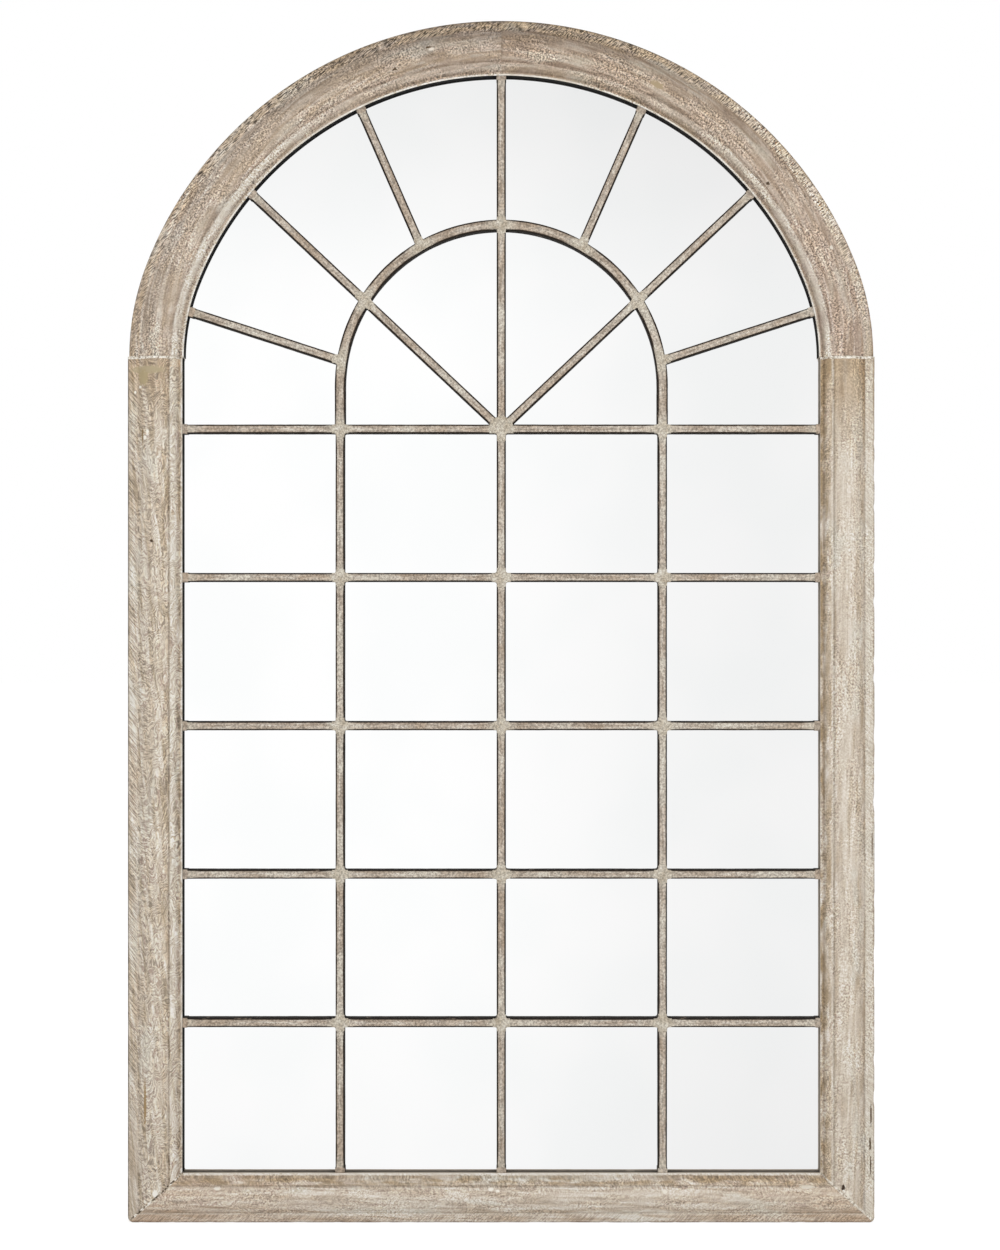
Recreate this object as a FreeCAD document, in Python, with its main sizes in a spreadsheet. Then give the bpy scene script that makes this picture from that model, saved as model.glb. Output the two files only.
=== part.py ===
import FreeCAD, Part
import math
import os
import Sketcher

# Arched window mirror: a moulded frame with a three-centred arch, one sheet of mirror in a
# rebate behind it, and a welded grille of glazing bars with a fan under the arch.
# Sketches are drawn from the underside of the bottom rail, with Z up and the front towards -Y.
# Every piece is then placed so that the origin lies on the back plane, midway between the
# two hangers, which is the line that the hooks on the wall are set out from.

# Driving sizes in millimetres, and angles in degrees: name, value, meaning.
SIZES = [
    ("overall_width", 870, "width over the two stiles"),
    ("joint_height", 1008.5, "height of the joints between the stiles and the arch"),
    ("joint_step", 1.5, "how far the arch stands back from the stile's outer edge"),
    ("crown_drop", 42, "how much lower the crown is than a half circle on the same span"),
    ("haunch_inset", 133.5, "distance of the haunch arcs' centres from the middle"),
    ("overall_depth", 35, "depth of the frame's moulding from its back to its crown line"),
    ("edge_drop", 11, "outer edge below the crown line"),
    ("arris", 0.8, "softened corner of the moulding"),
    ("band_width", 12.2, "flat band along the outer edge"),
    ("band_drop", 7.5, "inner edge of the band below the crown line"),
    ("quirk_width", 1.2, "narrow groove beside the band"),
    ("quirk_depth", 2, "depth of that groove"),
    ("slope_width", 19.6, "rising outer half of the main face"),
    ("slope_drop", 8, "start of the main face below the crown line"),
    ("flat_width", 14.7, "flatter inner half of the main face"),
    ("flat_drop", 1.8, "end of the main face below the crown line"),
    ("groove_width", 0.9, "sharp groove between the main face and the bead"),
    ("groove_drop", 5.2, "bottom of that groove below the crown line"),
    ("crest_width", 2.2, "rising side of the bead"),
    ("crest_drop", 3.5, "top of the bead below the crown line"),
    ("fall_width", 7.8, "falling side of the bead"),
    ("fall_drop", 10.3, "foot of the bead below the crown line"),
    ("lip_width", 4.4, "flat lip at the sight edge"),
    ("lip_drop", 14, "lip below the crown line"),
    ("rail_face", 57, "width of the bottom rail, whose moulding is narrower in proportion"),
    ("mirror_rebate", 10, "overlap of the frame on the mirror"),
    ("mirror_clearance", 1, "room round the mirror in its rebate"),
    ("mirror_thickness", 4, "thickness of the mirror sheet"),
    ("board_rebate", 22, "width of the shallow rebate for the backing board"),
    ("board_clearance", 0.5, "room round the backing board"),
    ("board_thickness", 4, "thickness of the backing board, flush with the frame's back"),
    ("bar_width", 10.8, "width of a glazing bar"),
    ("bar_depth", 10.7, "depth of a glazing bar"),
    ("bar_gap", 0.3, "room between the bars and the mirror"),
    ("bar_arris", 1.2, "softened front corner of a bar"),
    ("weld_gap", 0.1, "gap that a weld closes where a bar meets a curve"),
    ("weld_leg", 3.6, "leg of the weld fillet in a corner of the grille"),
    ("springing_drop", 83.5, "bar that the fan stands on, below the frame's joints"),
    ("lowest_row", 175, "height of the lowest crossbar above the bottom rail"),
    ("column_spread", 2.2, "how far past a quarter of the sight the side columns stand"),
    ("hoop_width", 12.8, "width of the bent bar round the fan"),
    ("hoop_leg", 50, "straight legs of that bar"),
    ("low_ray_angle", 18, "slope of the lowest rays"),
    ("low_ray_lift", 19, "height above the hub where their lines meet"),
    ("middle_ray_angle", 43.3, "slope of the middle rays, in line with the inner diagonals"),
    ("high_ray_angle", 66.3, "slope of the highest rays"),
    ("dowel_diameter", 8, "diameter of the dowels in the frame's joints"),
    ("dowel_length", 40, "length of a dowel"),
    ("dowel_clearance", 0.15, "glue gap round a dowel"),
    ("dowel_height", 15, "distance of the dowels from the back plane"),
    ("outer_dowel_inset", 26, "outer dowel, from the frame's outer edge"),
    ("inner_dowel_inset", 44, "inner dowel, from the frame's outer edge"),
    ("screw_diameter", 3.4, "diameter of a wood screw"),
    ("screw_reach", 12, "length of a screw in the frame's wood"),
    ("screw_clearance", 0.1, "room round a screw in its pilot hole"),
    ("screw_hole_clearance", 0.4, "room round a screw in the piece it holds"),
    ("screw_head_diameter", 7, "diameter of a screw's head"),
    ("screw_head_height", 1.8, "height of a screw's head"),
    ("screw_head_taper", 18, "slope of the side of a raised head"),
    ("screw_edge", 6, "board screws, from the edge of the board's rebate"),
    ("screw_inset", 120, "end screws of a row, from the end of the row"),
    ("hanger_drop", 48.5, "hangers' hinge line, below the frame's joints"),
    ("hanger_inset", 20.5, "middle of a hanger, from the frame's outer edge"),
    ("strap_width", 16, "width of a hanger's strap"),
    ("strap_length", 58, "length of the strap below its eye"),
    ("strap_thickness", 1.2, "thickness of the strap"),
    ("strap_corner", 6, "rounding of the strap's lower corners"),
    ("curl_angle", 60, "how far the eye's curl comes round past its outer side"),
    ("eye_clearance", 0.4, "room round the ring's wire in the eye"),
    ("strap_first_hole", 32, "upper screw, below the hinge line"),
    ("strap_hole_pitch", 16, "distance between a strap's two screws"),
    ("ring_wire", 3, "diameter of the ring's wire"),
    ("ring_width", 26, "width of the ring between the middles of its legs"),
    ("ring_leg", 9, "hinge line to the start of the ring's bow"),
    ("ring_bend", 3, "radius of the ring's corners"),
    ("bumper_diameter", 18, "diameter of a wall bumper"),
    ("bumper_thickness", 6, "thickness of a wall bumper"),
    ("bumper_inset", 22, "middle of a bumper, from the frame's outer edge"),
    ("bumper_height", 32, "middle of a bumper, from the underside"),
]

# Sizes that follow from the ones above.
DERIVED = [
    ("half_width", "Sizes.overall_width / 2"),
    ("arch_half", "Derived.half_width - Sizes.joint_step"),
    ("slope_start", "Sizes.band_width + Sizes.quirk_width"),
    ("crown_line", "Derived.slope_start + Sizes.slope_width"),
    ("flat_end", "Derived.crown_line + Sizes.flat_width"),
    ("groove_line", "Derived.flat_end + Sizes.groove_width"),
    ("crest_line", "Derived.groove_line + Sizes.crest_width"),
    ("bead_foot", "Derived.crest_line + Sizes.fall_width"),
    ("face_width", "Derived.bead_foot + Sizes.lip_width"),
    ("sight_half", "Derived.half_width - Derived.face_width"),
    ("haunch_radius", "Derived.arch_half - Sizes.haunch_inset"),
    ("arch_rise", "Derived.arch_half - Sizes.crown_drop"),
    ("crown_radius", "Sizes.haunch_inset ^ 2 / (2 * (Sizes.haunch_inset - Sizes.crown_drop))"
                     " + (Derived.arch_rise + Derived.haunch_radius) / 2"),
    ("total_height", "Sizes.joint_height + Derived.arch_rise"),
    ("crown_centre", "Derived.total_height - Derived.crown_radius"),
    ("centre_rise", "Sizes.joint_height - Derived.crown_centre"),
    ("turn_cosine", "Sizes.haunch_inset / (Derived.crown_radius - Derived.haunch_radius)"),
    ("turn_sine", "Derived.centre_rise / (Derived.crown_radius - Derived.haunch_radius)"),
    ("haunch_angle", "atan(Derived.centre_rise / Sizes.haunch_inset) / 1 deg"),
    ("glass_back", "Sizes.board_thickness"),
    ("glass_front", "Derived.glass_back + Sizes.mirror_thickness"),
    ("bar_back", "Derived.glass_front + Sizes.bar_gap"),
    ("bar_front", "Derived.bar_back + Sizes.bar_depth"),
    ("bay", "Derived.sight_half / 2 + Sizes.column_spread"),
    ("springing_height", "Sizes.joint_height - Sizes.springing_drop"),
    ("lowest_bar_height", "Sizes.rail_face + Sizes.lowest_row"),
    ("springing_top", "Derived.springing_height + Sizes.bar_width / 2"),
    ("hoop_centre", "Derived.springing_height + Sizes.hoop_leg"),
    ("hoop_inner", "Derived.bay - Sizes.hoop_width / 2"),
    ("hoop_outer", "Derived.bay + Sizes.hoop_width / 2"),
    ("reach", "Derived.total_height + Sizes.overall_width"),
    ("screw_rim", "Sizes.board_rebate - Sizes.screw_edge - Derived.face_width"),
    ("sunk_taper", "atan((Sizes.screw_head_diameter - Sizes.screw_diameter)"
                   " / (2 * Sizes.screw_head_height)) / 1 deg"),
    ("eye_inner", "Sizes.ring_wire / 2 + Sizes.eye_clearance"),
    ("eye_outer", "Derived.eye_inner + Sizes.strap_thickness"),
    ("hang_height", "Sizes.joint_height - Sizes.hanger_drop"),
    ("hanger_line", "Derived.half_width - Sizes.hanger_inset"),
]

SIDES = [("left", -1), ("right", 1)]
COLUMNS = [("left", -1), ("middle", 0), ("right", 1)]
CROSSBARS = 4
STILE_SCREWS = 4
ARCH_SCREWS = 3

doc = FreeCAD.newDocument("arched_window_mirror")
nodes = []


def fill_sheet():
    """Write the driving sizes to the sheet, then the sizes that follow from them."""
    sheet = doc.addObject("Spreadsheet::Sheet", "Sizes")
    for row, (name, value, meaning) in enumerate(SIZES, start=1):
        sheet.set(f"A{row}", meaning)
        sheet.set(f"B{row}", str(value))
        sheet.setAlias(f"B{row}", name)
    doc.recompute()
    derived = doc.addObject("App::VarSet", "Derived")
    for name, expression in DERIVED:
        derived.addProperty("App::PropertyFloat", name)
        derived.setExpression(name, expression)
    doc.recompute()
    return derived


derived = fill_sheet()


def number(expression):
    """What an expression over the sizes comes to, in millimetres or degrees."""
    result = derived.evalExpression(expression)
    return float(getattr(result, "Value", result))


def point(corner):
    return FreeCAD.Vector(number(corner[0]), number(corner[1]), 0)


def new_node(name, kind="PartDesign::Body"):
    """A named piece, placed so that the origin is on the hangers' hinge line."""
    piece = doc.addObject(kind, name)
    piece.Label = name
    nodes.append(piece)
    if kind != "Part::Feature":
        piece.setExpression("Placement.Base.z", "0 - Derived.hang_height")
    return piece


def new_sketch(body, plane, offset="0"):
    """A sketch on one of the body's own origin planes, moved along the plane's normal."""
    sketch = body.newObject("Sketcher::SketchObject", body.Name + "_sketch")
    support = [item for item in body.Origin.OriginFeatures if item.Role == plane]
    sketch.AttachmentSupport = [(support[0], "")]
    sketch.MapMode = "FlatFace"
    sketch.setExpression("AttachmentOffset.Base.z", offset)
    return sketch


def bind_point(sketch, geometry, end, corner):
    """Tie a point of the sketch to two expressions, measured from the sketch's origin."""
    for kind, place, expression in (("DistanceX", 0, corner[0]), ("DistanceY", 1, corner[1])):
        value = point(corner)[place]
        index = sketch.addConstraint(Sketcher.Constraint(kind, -1, 1, geometry, end, value))
        sketch.setExpression(f"Constraints[{index}]", expression)


def bind_radius(sketch, geometry, expression):
    radius = number(expression)
    index = sketch.addConstraint(Sketcher.Constraint("Radius", geometry, radius))
    sketch.setExpression(f"Constraints[{index}]", expression)


def add_arc(sketch, start, end, centre):
    """The shorter arc between two points. It tells which end of it is the start."""
    turn = (start - centre).cross(end - centre).z
    first, last = (start, end) if turn > 0 else (end, start)
    begin = math.atan2(first.y - centre.y, first.x - centre.x)
    finish = math.atan2(last.y - centre.y, last.x - centre.x)
    if finish < begin:
        finish += 2 * math.pi
    circle = Part.Circle(centre, FreeCAD.Vector(0, 0, 1), (start - centre).Length)
    geometry = sketch.addGeometry(Part.ArcOfCircle(circle, begin, finish))
    return geometry, ((1, 2) if turn > 0 else (2, 1))


def draw_run(sketch, corners, closed=True):
    """Straight runs and arcs through the corners.

    A corner is (x, y), or (x, y, centre x, centre y, radius) where an arc starts.
    """
    count = len(corners) if closed else len(corners) - 1
    runs = []
    for place in range(count):
        corner = corners[place]
        start = point(corner)
        end = point(corners[(place + 1) % len(corners)])
        if len(corner) == 2:
            runs.append((sketch.addGeometry(Part.LineSegment(start, end)), (1, 2)))
        else:
            runs.append(add_arc(sketch, start, end, point(corner[2:4])))
    for place, (geometry, ends) in enumerate(runs):
        if closed or place > 0:
            before, before_ends = runs[place - 1]
            joined = Sketcher.Constraint("Coincident", before, before_ends[1], geometry, ends[0])
            sketch.addConstraint(joined)
        bind_point(sketch, geometry, ends[0], corners[place])
        if len(corners[place]) > 2:
            bind_radius(sketch, geometry, corners[place][4])
    if not closed:
        geometry, ends = runs[-1]
        bind_point(sketch, geometry, ends[1], corners[-1])


def draw_circles(sketch, centres, radius):
    for centre in centres:
        circle = Part.Circle(point(centre), FreeCAD.Vector(0, 0, 1), number(radius))
        geometry = sketch.addGeometry(circle)
        bind_point(sketch, geometry, 3, centre)
        bind_radius(sketch, geometry, radius)


def draw_axis(sketch, start, end):
    """A construction line to turn a section about."""
    geometry = sketch.addGeometry(Part.LineSegment(point(start), point(end)), True)
    bind_point(sketch, geometry, 1, start)
    bind_point(sketch, geometry, 2, end)


def rectangle(left, right, bottom, top):
    return [(left, bottom), (right, bottom), (right, top), (left, top)]


def pad(body, sketch, length, backwards=False, taper=None):
    feature = body.newObject("PartDesign::Pad", body.Name + "_pad")
    feature.Profile = sketch
    feature.Reversed = backwards
    feature.setExpression("Length", length)
    if taper:
        feature.setExpression("TaperAngle", taper)
    doc.recompute()
    return feature


def pocket(body, sketch, depth=None, forwards=True, taper=None):
    """Cut towards the front, or towards the back, and make sure that it cuts."""
    before = body.Shape.Volume
    feature = body.newObject("PartDesign::Pocket", body.Name + "_pocket")
    feature.Profile = sketch
    feature.Reversed = forwards
    if depth:
        feature.setExpression("Length", depth)
    else:
        feature.Type = "ThroughAll"
    if taper:
        feature.setExpression("TaperAngle", taper)
    doc.recompute()
    if body.Shape.Volume >= before:
        raise RuntimeError(f"a cut in {body.Label} removes nothing")
    return feature


def revolve(body, sketch, angle, backwards):
    feature = body.newObject("PartDesign::Revolution", body.Name + "_turn")
    feature.Profile = sketch
    feature.ReferenceAxis = (sketch, ["Axis0"])
    feature.Reversed = backwards
    feature.setExpression("Angle", angle)
    doc.recompute()
    return feature


# The frame's moulding. A place on its section is given by how far it lies in from the outer
# edge and how far it stands in front of the back plane.

def section(face, scale):
    """Corners of the moulding's section, its face squeezed by a scale, with both rebates."""
    front = "Sizes.overall_depth"

    def across(line):
        return f"({line}) * {scale}"

    def below(drop):
        return f"{front} - ({drop})"

    def crowned(start, top, run, top_drop, fall):
        """A corner where an arc starts that is level at its top."""
        radius = f"((({run}) * {scale}) ^ 2 + ({fall}) ^ 2) / (2 * ({fall}))"
        return (start[0], start[1], across(top), f"{front} - ({top_drop}) - {radius}", radius)

    edge = below("Sizes.edge_drop")
    slope_start = (across("Derived.slope_start"), below("Sizes.slope_drop"))
    crown = (across("Derived.crown_line"), front)
    groove = (across("Derived.groove_line"), below("Sizes.groove_drop"))
    crest = (across("Derived.crest_line"), below("Sizes.crest_drop"))
    quirk = across("Sizes.band_width + Sizes.quirk_width / 2")
    lip = below("Sizes.lip_drop")
    return [
        ("0", "0"),
        ("0", f"{edge} - Sizes.arris"),
        ("Sizes.arris", edge),
        (across("Sizes.band_width"), below("Sizes.band_drop")),
        (quirk, below("Sizes.band_drop + Sizes.quirk_depth")),
        crowned(slope_start, "Derived.crown_line", "Sizes.slope_width", "0", "Sizes.slope_drop"),
        crowned(crown, "Derived.crown_line", "Sizes.flat_width", "0", "Sizes.flat_drop"),
        (across("Derived.flat_end"), below("Sizes.flat_drop")),
        crowned(groove, "Derived.crest_line", "Sizes.crest_width", "Sizes.crest_drop",
                "Sizes.groove_drop - Sizes.crest_drop"),
        crowned(crest, "Derived.crest_line", "Sizes.fall_width", "Sizes.crest_drop",
                "Sizes.fall_drop - Sizes.crest_drop"),
        (across("Derived.bead_foot"), below("Sizes.fall_drop")),
        (across("Derived.bead_foot"), lip),
        (f"{face} - Sizes.arris", lip),
        (face, f"{lip} - Sizes.arris"),
        (face, "Derived.glass_front"),
        (f"{face} - Sizes.mirror_rebate", "Derived.glass_front"),
        (f"{face} - Sizes.mirror_rebate", "Derived.glass_back"),
        (f"{face} - Sizes.board_rebate", "Derived.glass_back"),
        (f"{face} - Sizes.board_rebate", "0"),
    ]


def placed(corners, place):
    """Put section corners into a sketch, where place turns (in, out) into (x, y)."""
    result = []
    for corner in corners:
        spot = place(corner[0], corner[1])
        if len(corner) > 2:
            spot += place(corner[2], corner[3]) + (corner[4],)
        result.append(spot)
    return result


def full_section():
    return section("Derived.face_width", "1")


def upright_place(side, half):
    """A section seen from above, at the left or right end of a half span."""
    return lambda inwards, outwards: (f"{side} * ({half} - ({inwards}))", f"0 - ({outwards})")


def crown_place(inwards, outwards):
    """A section seen from the side, at the crown."""
    return (f"0 - ({outwards})", f"Derived.total_height - ({inwards})")


def rail_place(inwards, outwards):
    """A section seen from the side, at the bottom."""
    return (f"0 - ({outwards})", inwards)


def mitre_corners(side, inside):
    """A triangle on one side of the mitre line, from the outer to the inner corner.

    It runs past the frame by a rail's width, above the line or inside it.
    """
    over = "Sizes.rail_face"
    slope = "(Sizes.rail_face / Derived.face_width)"
    outer_x = f"{side} * (Derived.half_width + {over})"
    inner_x = f"{side} * (Derived.sight_half - {over})"
    outer_z = f"0 - {over} * {slope}"
    inner_z = f"(Derived.face_width + {over}) * {slope}"
    third = (inner_x, outer_z) if inside else (outer_x, inner_z)
    return [(outer_x, outer_z), (inner_x, inner_z), third]


# The dowels across the frame's joints: one joint's name, its pieces, and each dowel's lower
# end and lean from upright.

def dowel_joints():
    joints = []
    reach = "Sizes.dowel_length / 2"
    slope = "(Sizes.rail_face / Derived.face_width)"
    for name, side in SIDES:
        corner = []
        springing = []
        for inset in ("Sizes.outer_dowel_inset", "Sizes.inner_dowel_inset"):
            lean = f"{side} * atan({slope})"
            corner.append((f"{side} * (Derived.half_width - {inset} - {reach} * sin(atan({slope})))",
                           f"{inset} * {slope} - {reach} * cos(atan({slope}))", lean))
            springing.append((f"{side} * (Derived.half_width - {inset})",
                              f"Sizes.joint_height - {reach}", "0 deg"))
        joints.append(((f"{name}_stile", "bottom_rail"), corner))
        joints.append(((f"{name}_stile", f"arch_{name}"), springing))
    crown = []
    for inset in ("Sizes.outer_dowel_inset", "Sizes.inner_dowel_inset"):
        crown.append((f"0 - {reach}", f"Derived.total_height - {inset}", "90 deg"))
    joints.append((("arch_left", "arch_right"), crown))
    return joints


DOWEL_JOINTS = dowel_joints()


def bore_dowels(body):
    """Bore the frame piece for the dowels of its joints, a little deeper than they reach."""
    for pieces, dowels in DOWEL_JOINTS:
        if body.Label not in pieces:
            continue
        for x, z, lean in dowels:
            before = body.Shape.Volume
            bore = body.newObject("PartDesign::SubtractiveCylinder", body.Name + "_bore")
            support = [item for item in body.Origin.OriginFeatures if item.Role == "XY_Plane"]
            bore.AttachmentSupport = [(support[0], "")]
            bore.MapMode = "FlatFace"
            bore.AttachmentOffset.Rotation.Axis = FreeCAD.Vector(0, 1, 0)
            turned = FreeCAD.Rotation(FreeCAD.Vector(0, 1, 0), number(lean))
            bore.AttachmentOffset = FreeCAD.Placement(FreeCAD.Vector(), turned)
            bore.setExpression("AttachmentOffset.Base.x",
                               f"{x} - Sizes.dowel_clearance * sin({lean})")
            bore.setExpression("AttachmentOffset.Base.y", "0 - Sizes.dowel_height")
            bore.setExpression("AttachmentOffset.Base.z",
                               f"{z} - Sizes.dowel_clearance * cos({lean})")
            bore.setExpression("AttachmentOffset.Rotation.Angle", lean)
            bore.setExpression("Radius", "Sizes.dowel_diameter / 2 + Sizes.dowel_clearance")
            bore.setExpression("Height", "Sizes.dowel_length + 2 * Sizes.dowel_clearance")
            doc.recompute()
            if body.Shape.Volume >= before:
                raise RuntimeError(f"a dowel hole in {body.Label} removes nothing")


def make_dowels():
    """All the frame's dowels, as separate solids in one group."""
    group = new_node("joint_dowels", "Part::Compound")
    dowels = []
    for _, places in DOWEL_JOINTS:
        for x, z, lean in places:
            dowel = doc.addObject("Part::Cylinder", "dowel")
            turned = FreeCAD.Rotation(FreeCAD.Vector(0, 1, 0), number(lean))
            dowel.Placement = FreeCAD.Placement(FreeCAD.Vector(), turned)
            dowel.setExpression("Placement.Base.x", x)
            dowel.setExpression("Placement.Base.y", "0 - Sizes.dowel_height")
            dowel.setExpression("Placement.Base.z", z)
            dowel.setExpression("Placement.Rotation.Angle", lean)
            dowel.setExpression("Radius", "Sizes.dowel_diameter / 2")
            dowel.setExpression("Height", "Sizes.dowel_length")
            dowels.append(dowel)
    group.Links = dowels


# The screws round the backing board, by the frame piece that they go into.

def board_screws():
    rim = "(Derived.arch_half + Derived.screw_rim)"
    places = {"bottom_rail": []}
    for step in (-1, 0, 1):
        x = f"{step} * (Derived.sight_half - Sizes.screw_inset)"
        z = "Sizes.rail_face - Sizes.board_rebate + Sizes.screw_edge"
        places["bottom_rail"].append((x, z))
    for name, side in SIDES:
        stile = []
        for step in range(STILE_SCREWS):
            share = f"{step} / {STILE_SCREWS - 1}"
            z = f"Sizes.screw_inset + (Sizes.joint_height - 2 * Sizes.screw_inset) * {share}"
            stile.append((f"{side} * {rim}", z))
        places[f"{name}_stile"] = stile
        arch = []
        radius = "(Derived.crown_radius + Derived.screw_rim)"
        for step in range(ARCH_SCREWS):
            share = f"(90 - Derived.haunch_angle) * {2 * step + 1} / {2 * ARCH_SCREWS}"
            angle = f"(Derived.haunch_angle + {share})"
            x = f"{side} * {radius} * cos({angle})"
            z = f"Derived.crown_centre + {radius} * sin({angle})"
            arch.append((x, z))
        places[f"arch_{name}"] = arch
    return places


BOARD_SCREWS = board_screws()


def every_board_screw():
    return [centre for centres in BOARD_SCREWS.values() for centre in centres]


def strap_screws(side):
    x = f"{side} * Derived.hanger_line"
    upper = "Derived.hang_height - Sizes.strap_first_hole"
    return [(x, upper), (x, f"{upper} - Sizes.strap_hole_pitch")]


def bore_pilots(body, centres, depth):
    sketch = new_sketch(body, "XZ_Plane")
    draw_circles(sketch, centres, "Sizes.screw_diameter / 2 + Sizes.screw_clearance")
    pocket(body, sketch, depth)


BOARD_PILOT = "Sizes.board_thickness + Sizes.screw_reach + Sizes.screw_clearance"
STRAP_PILOT = "Sizes.screw_reach + Sizes.screw_clearance"


def make_screws(name, centres, seat, sunk):
    """Wood screws, their heads sunk flush with the back, or raised on what they hold.

    The seat is how far what they hold stands behind the back plane.
    """
    body = new_node(name)
    body.AllowCompound = True
    held = "Sizes.board_thickness" if sunk else seat
    taper = "Derived.sunk_taper" if sunk else "Sizes.screw_head_taper"
    shanks = new_sketch(body, "XZ_Plane", f"0 - ({seat})")
    draw_circles(shanks, centres, "Sizes.screw_diameter / 2")
    pad(body, shanks, f"{held} + Sizes.screw_reach")
    heads = new_sketch(body, "XZ_Plane", f"0 - ({seat})")
    draw_circles(heads, centres, "Sizes.screw_head_diameter / 2")
    pad(body, heads, "Sizes.screw_head_height", not sunk, f"0 - {taper}")


# The frame.

def make_stile(name, side):
    body = new_node(f"{name}_stile")
    outline = new_sketch(body, "XY_Plane")
    draw_run(outline, placed(full_section(), upright_place(side, "Derived.half_width")))
    pad(body, outline, "Sizes.joint_height")
    mitre = new_sketch(body, "XZ_Plane")
    draw_run(mitre, mitre_corners(side, True))
    pocket(body, mitre)
    bore_dowels(body)
    bore_pilots(body, BOARD_SCREWS[body.Label], BOARD_PILOT)
    bore_pilots(body, strap_screws(side), STRAP_PILOT)


def make_rail():
    body = new_node("bottom_rail")
    outline = new_sketch(body, "YZ_Plane", "0 - Derived.half_width")
    narrow = section("Sizes.rail_face", "(Sizes.rail_face / Derived.face_width)")
    draw_run(outline, placed(narrow, rail_place))
    pad(body, outline, "Sizes.overall_width")
    for _, side in SIDES:
        mitre = new_sketch(body, "XZ_Plane")
        draw_run(mitre, mitre_corners(side, False))
        pocket(body, mitre)
    bore_dowels(body)
    bore_pilots(body, BOARD_SCREWS[body.Label], BOARD_PILOT)


def make_arch(name, side):
    """Half of the arch: a short haunch on one centre, and the crown on another."""
    body = new_node(f"arch_{name}")
    haunch = new_sketch(body, "XY_Plane", "Sizes.joint_height")
    draw_axis(haunch, (f"{side} * Sizes.haunch_inset", "0"),
              (f"{side} * Sizes.haunch_inset", "Sizes.overall_depth"))
    draw_run(haunch, placed(full_section(), upright_place(side, "Derived.arch_half")))
    revolve(body, haunch, "Derived.haunch_angle", side > 0)
    crown = new_sketch(body, "YZ_Plane")
    draw_axis(crown, ("0", "Derived.crown_centre"),
              ("Sizes.overall_depth", "Derived.crown_centre"))
    draw_run(crown, placed(full_section(), crown_place))
    revolve(body, crown, "90 - Derived.haunch_angle", side < 0)
    bore_dowels(body)
    bore_pilots(body, BOARD_SCREWS[body.Label], BOARD_PILOT)


def arched(grow):
    """The frame's opening, grown by a distance on every side. Its sides follow the arch."""
    edge = f"(Derived.face_width - ({grow}))"
    half = f"(Derived.arch_half - {edge})"
    haunch = f"(Derived.haunch_radius - {edge})"
    crown = f"(Derived.crown_radius - {edge})"
    foot = f"Sizes.rail_face - ({grow})"
    turn_x = f"{crown} * Derived.turn_cosine"
    turn_z = f"Derived.crown_centre + {crown} * Derived.turn_sine"
    return [
        (f"0 - {half}", foot),
        (half, foot),
        (half, "Sizes.joint_height", "Sizes.haunch_inset", "Sizes.joint_height", haunch),
        (turn_x, turn_z, "0", "Derived.crown_centre", crown),
        ("0", f"Derived.crown_centre + {crown}", "0", "Derived.crown_centre", crown),
        (f"0 - {turn_x}", turn_z, "0 - Sizes.haunch_inset", "Sizes.joint_height", haunch),
        (f"0 - {half}", "Sizes.joint_height"),
    ]


def make_mirror():
    body = new_node("mirror_glass")
    outline = new_sketch(body, "XZ_Plane", "Derived.glass_back")
    draw_run(outline, arched("Sizes.mirror_rebate - Sizes.mirror_clearance"))
    pad(body, outline, "Sizes.mirror_thickness")


def make_board():
    body = new_node("backing_board")
    outline = new_sketch(body, "XZ_Plane")
    draw_run(outline, arched("Sizes.board_rebate - Sizes.board_clearance"))
    pad(body, outline, "Sizes.board_thickness")
    holes = new_sketch(body, "XZ_Plane")
    draw_circles(holes, every_board_screw(), "Sizes.screw_diameter / 2 + Sizes.screw_hole_clearance")
    pocket(body, holes)
    sinks = new_sketch(body, "XZ_Plane")
    radius = "Sizes.screw_head_diameter / 2 + Sizes.screw_hole_clearance"
    draw_circles(sinks, every_board_screw(), radius)
    pocket(body, sinks, "Sizes.screw_head_height", taper="0 - Derived.sunk_taper")


# The grille. Its bars lie just in front of the mirror, and meet edge to edge.

def soften(body, base):
    """Take the sharp corner off the long front edges of a bar."""
    front = -number("Derived.bar_front")
    shortest = 1.5 * number("Sizes.bar_width")
    picked = []
    for place, edge in enumerate(base.Shape.Edges, start=1):
        level = all(abs(vertex.Point.y - front) < 1e-6 for vertex in edge.Vertexes)
        if level and edge.Length > shortest:
            picked.append(f"Edge{place}")
    chamfer = body.newObject("PartDesign::Chamfer", body.Name + "_arris")
    chamfer.Base = (base, picked)
    chamfer.setExpression("Size", "Sizes.bar_arris")
    doc.recompute()


def new_bar(name, corners):
    body = new_node(name)
    outline = new_sketch(body, "XZ_Plane", "Derived.bar_back")
    draw_run(outline, corners)
    soften(body, pad(body, outline, "Sizes.bar_depth"))
    return body


def cut_bar(body, *outlines):
    """Cut a bar away inside the outlines. An outline within the first one is left standing."""
    sketch = new_sketch(body, "XZ_Plane", "Derived.bar_back")
    for outline in outlines:
        if len(outline) == 1:
            draw_circles(sketch, [outline[0][:2]], outline[0][2])
        else:
            draw_run(sketch, outline)
    pocket(body, sketch)


EVERYWHERE = rectangle("0 - Derived.reach", "Derived.reach", "0 - Derived.reach", "2 * Derived.reach")
HOOP_INSIDE = [("0", "Derived.hoop_centre", "Derived.hoop_inner - Sizes.weld_gap")]
HOOP_OUTSIDE = [("0", "Derived.hoop_centre", "Derived.hoop_outer + Sizes.weld_gap")]


def crossbar_height(row):
    """Height of a crossbar. Row 0 is the springing bar, and the last row is the lowest."""
    pitch = f"(Derived.springing_height - Derived.lowest_bar_height) / {CROSSBARS}"
    return f"(Derived.springing_height - {row} * {pitch})"


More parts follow.
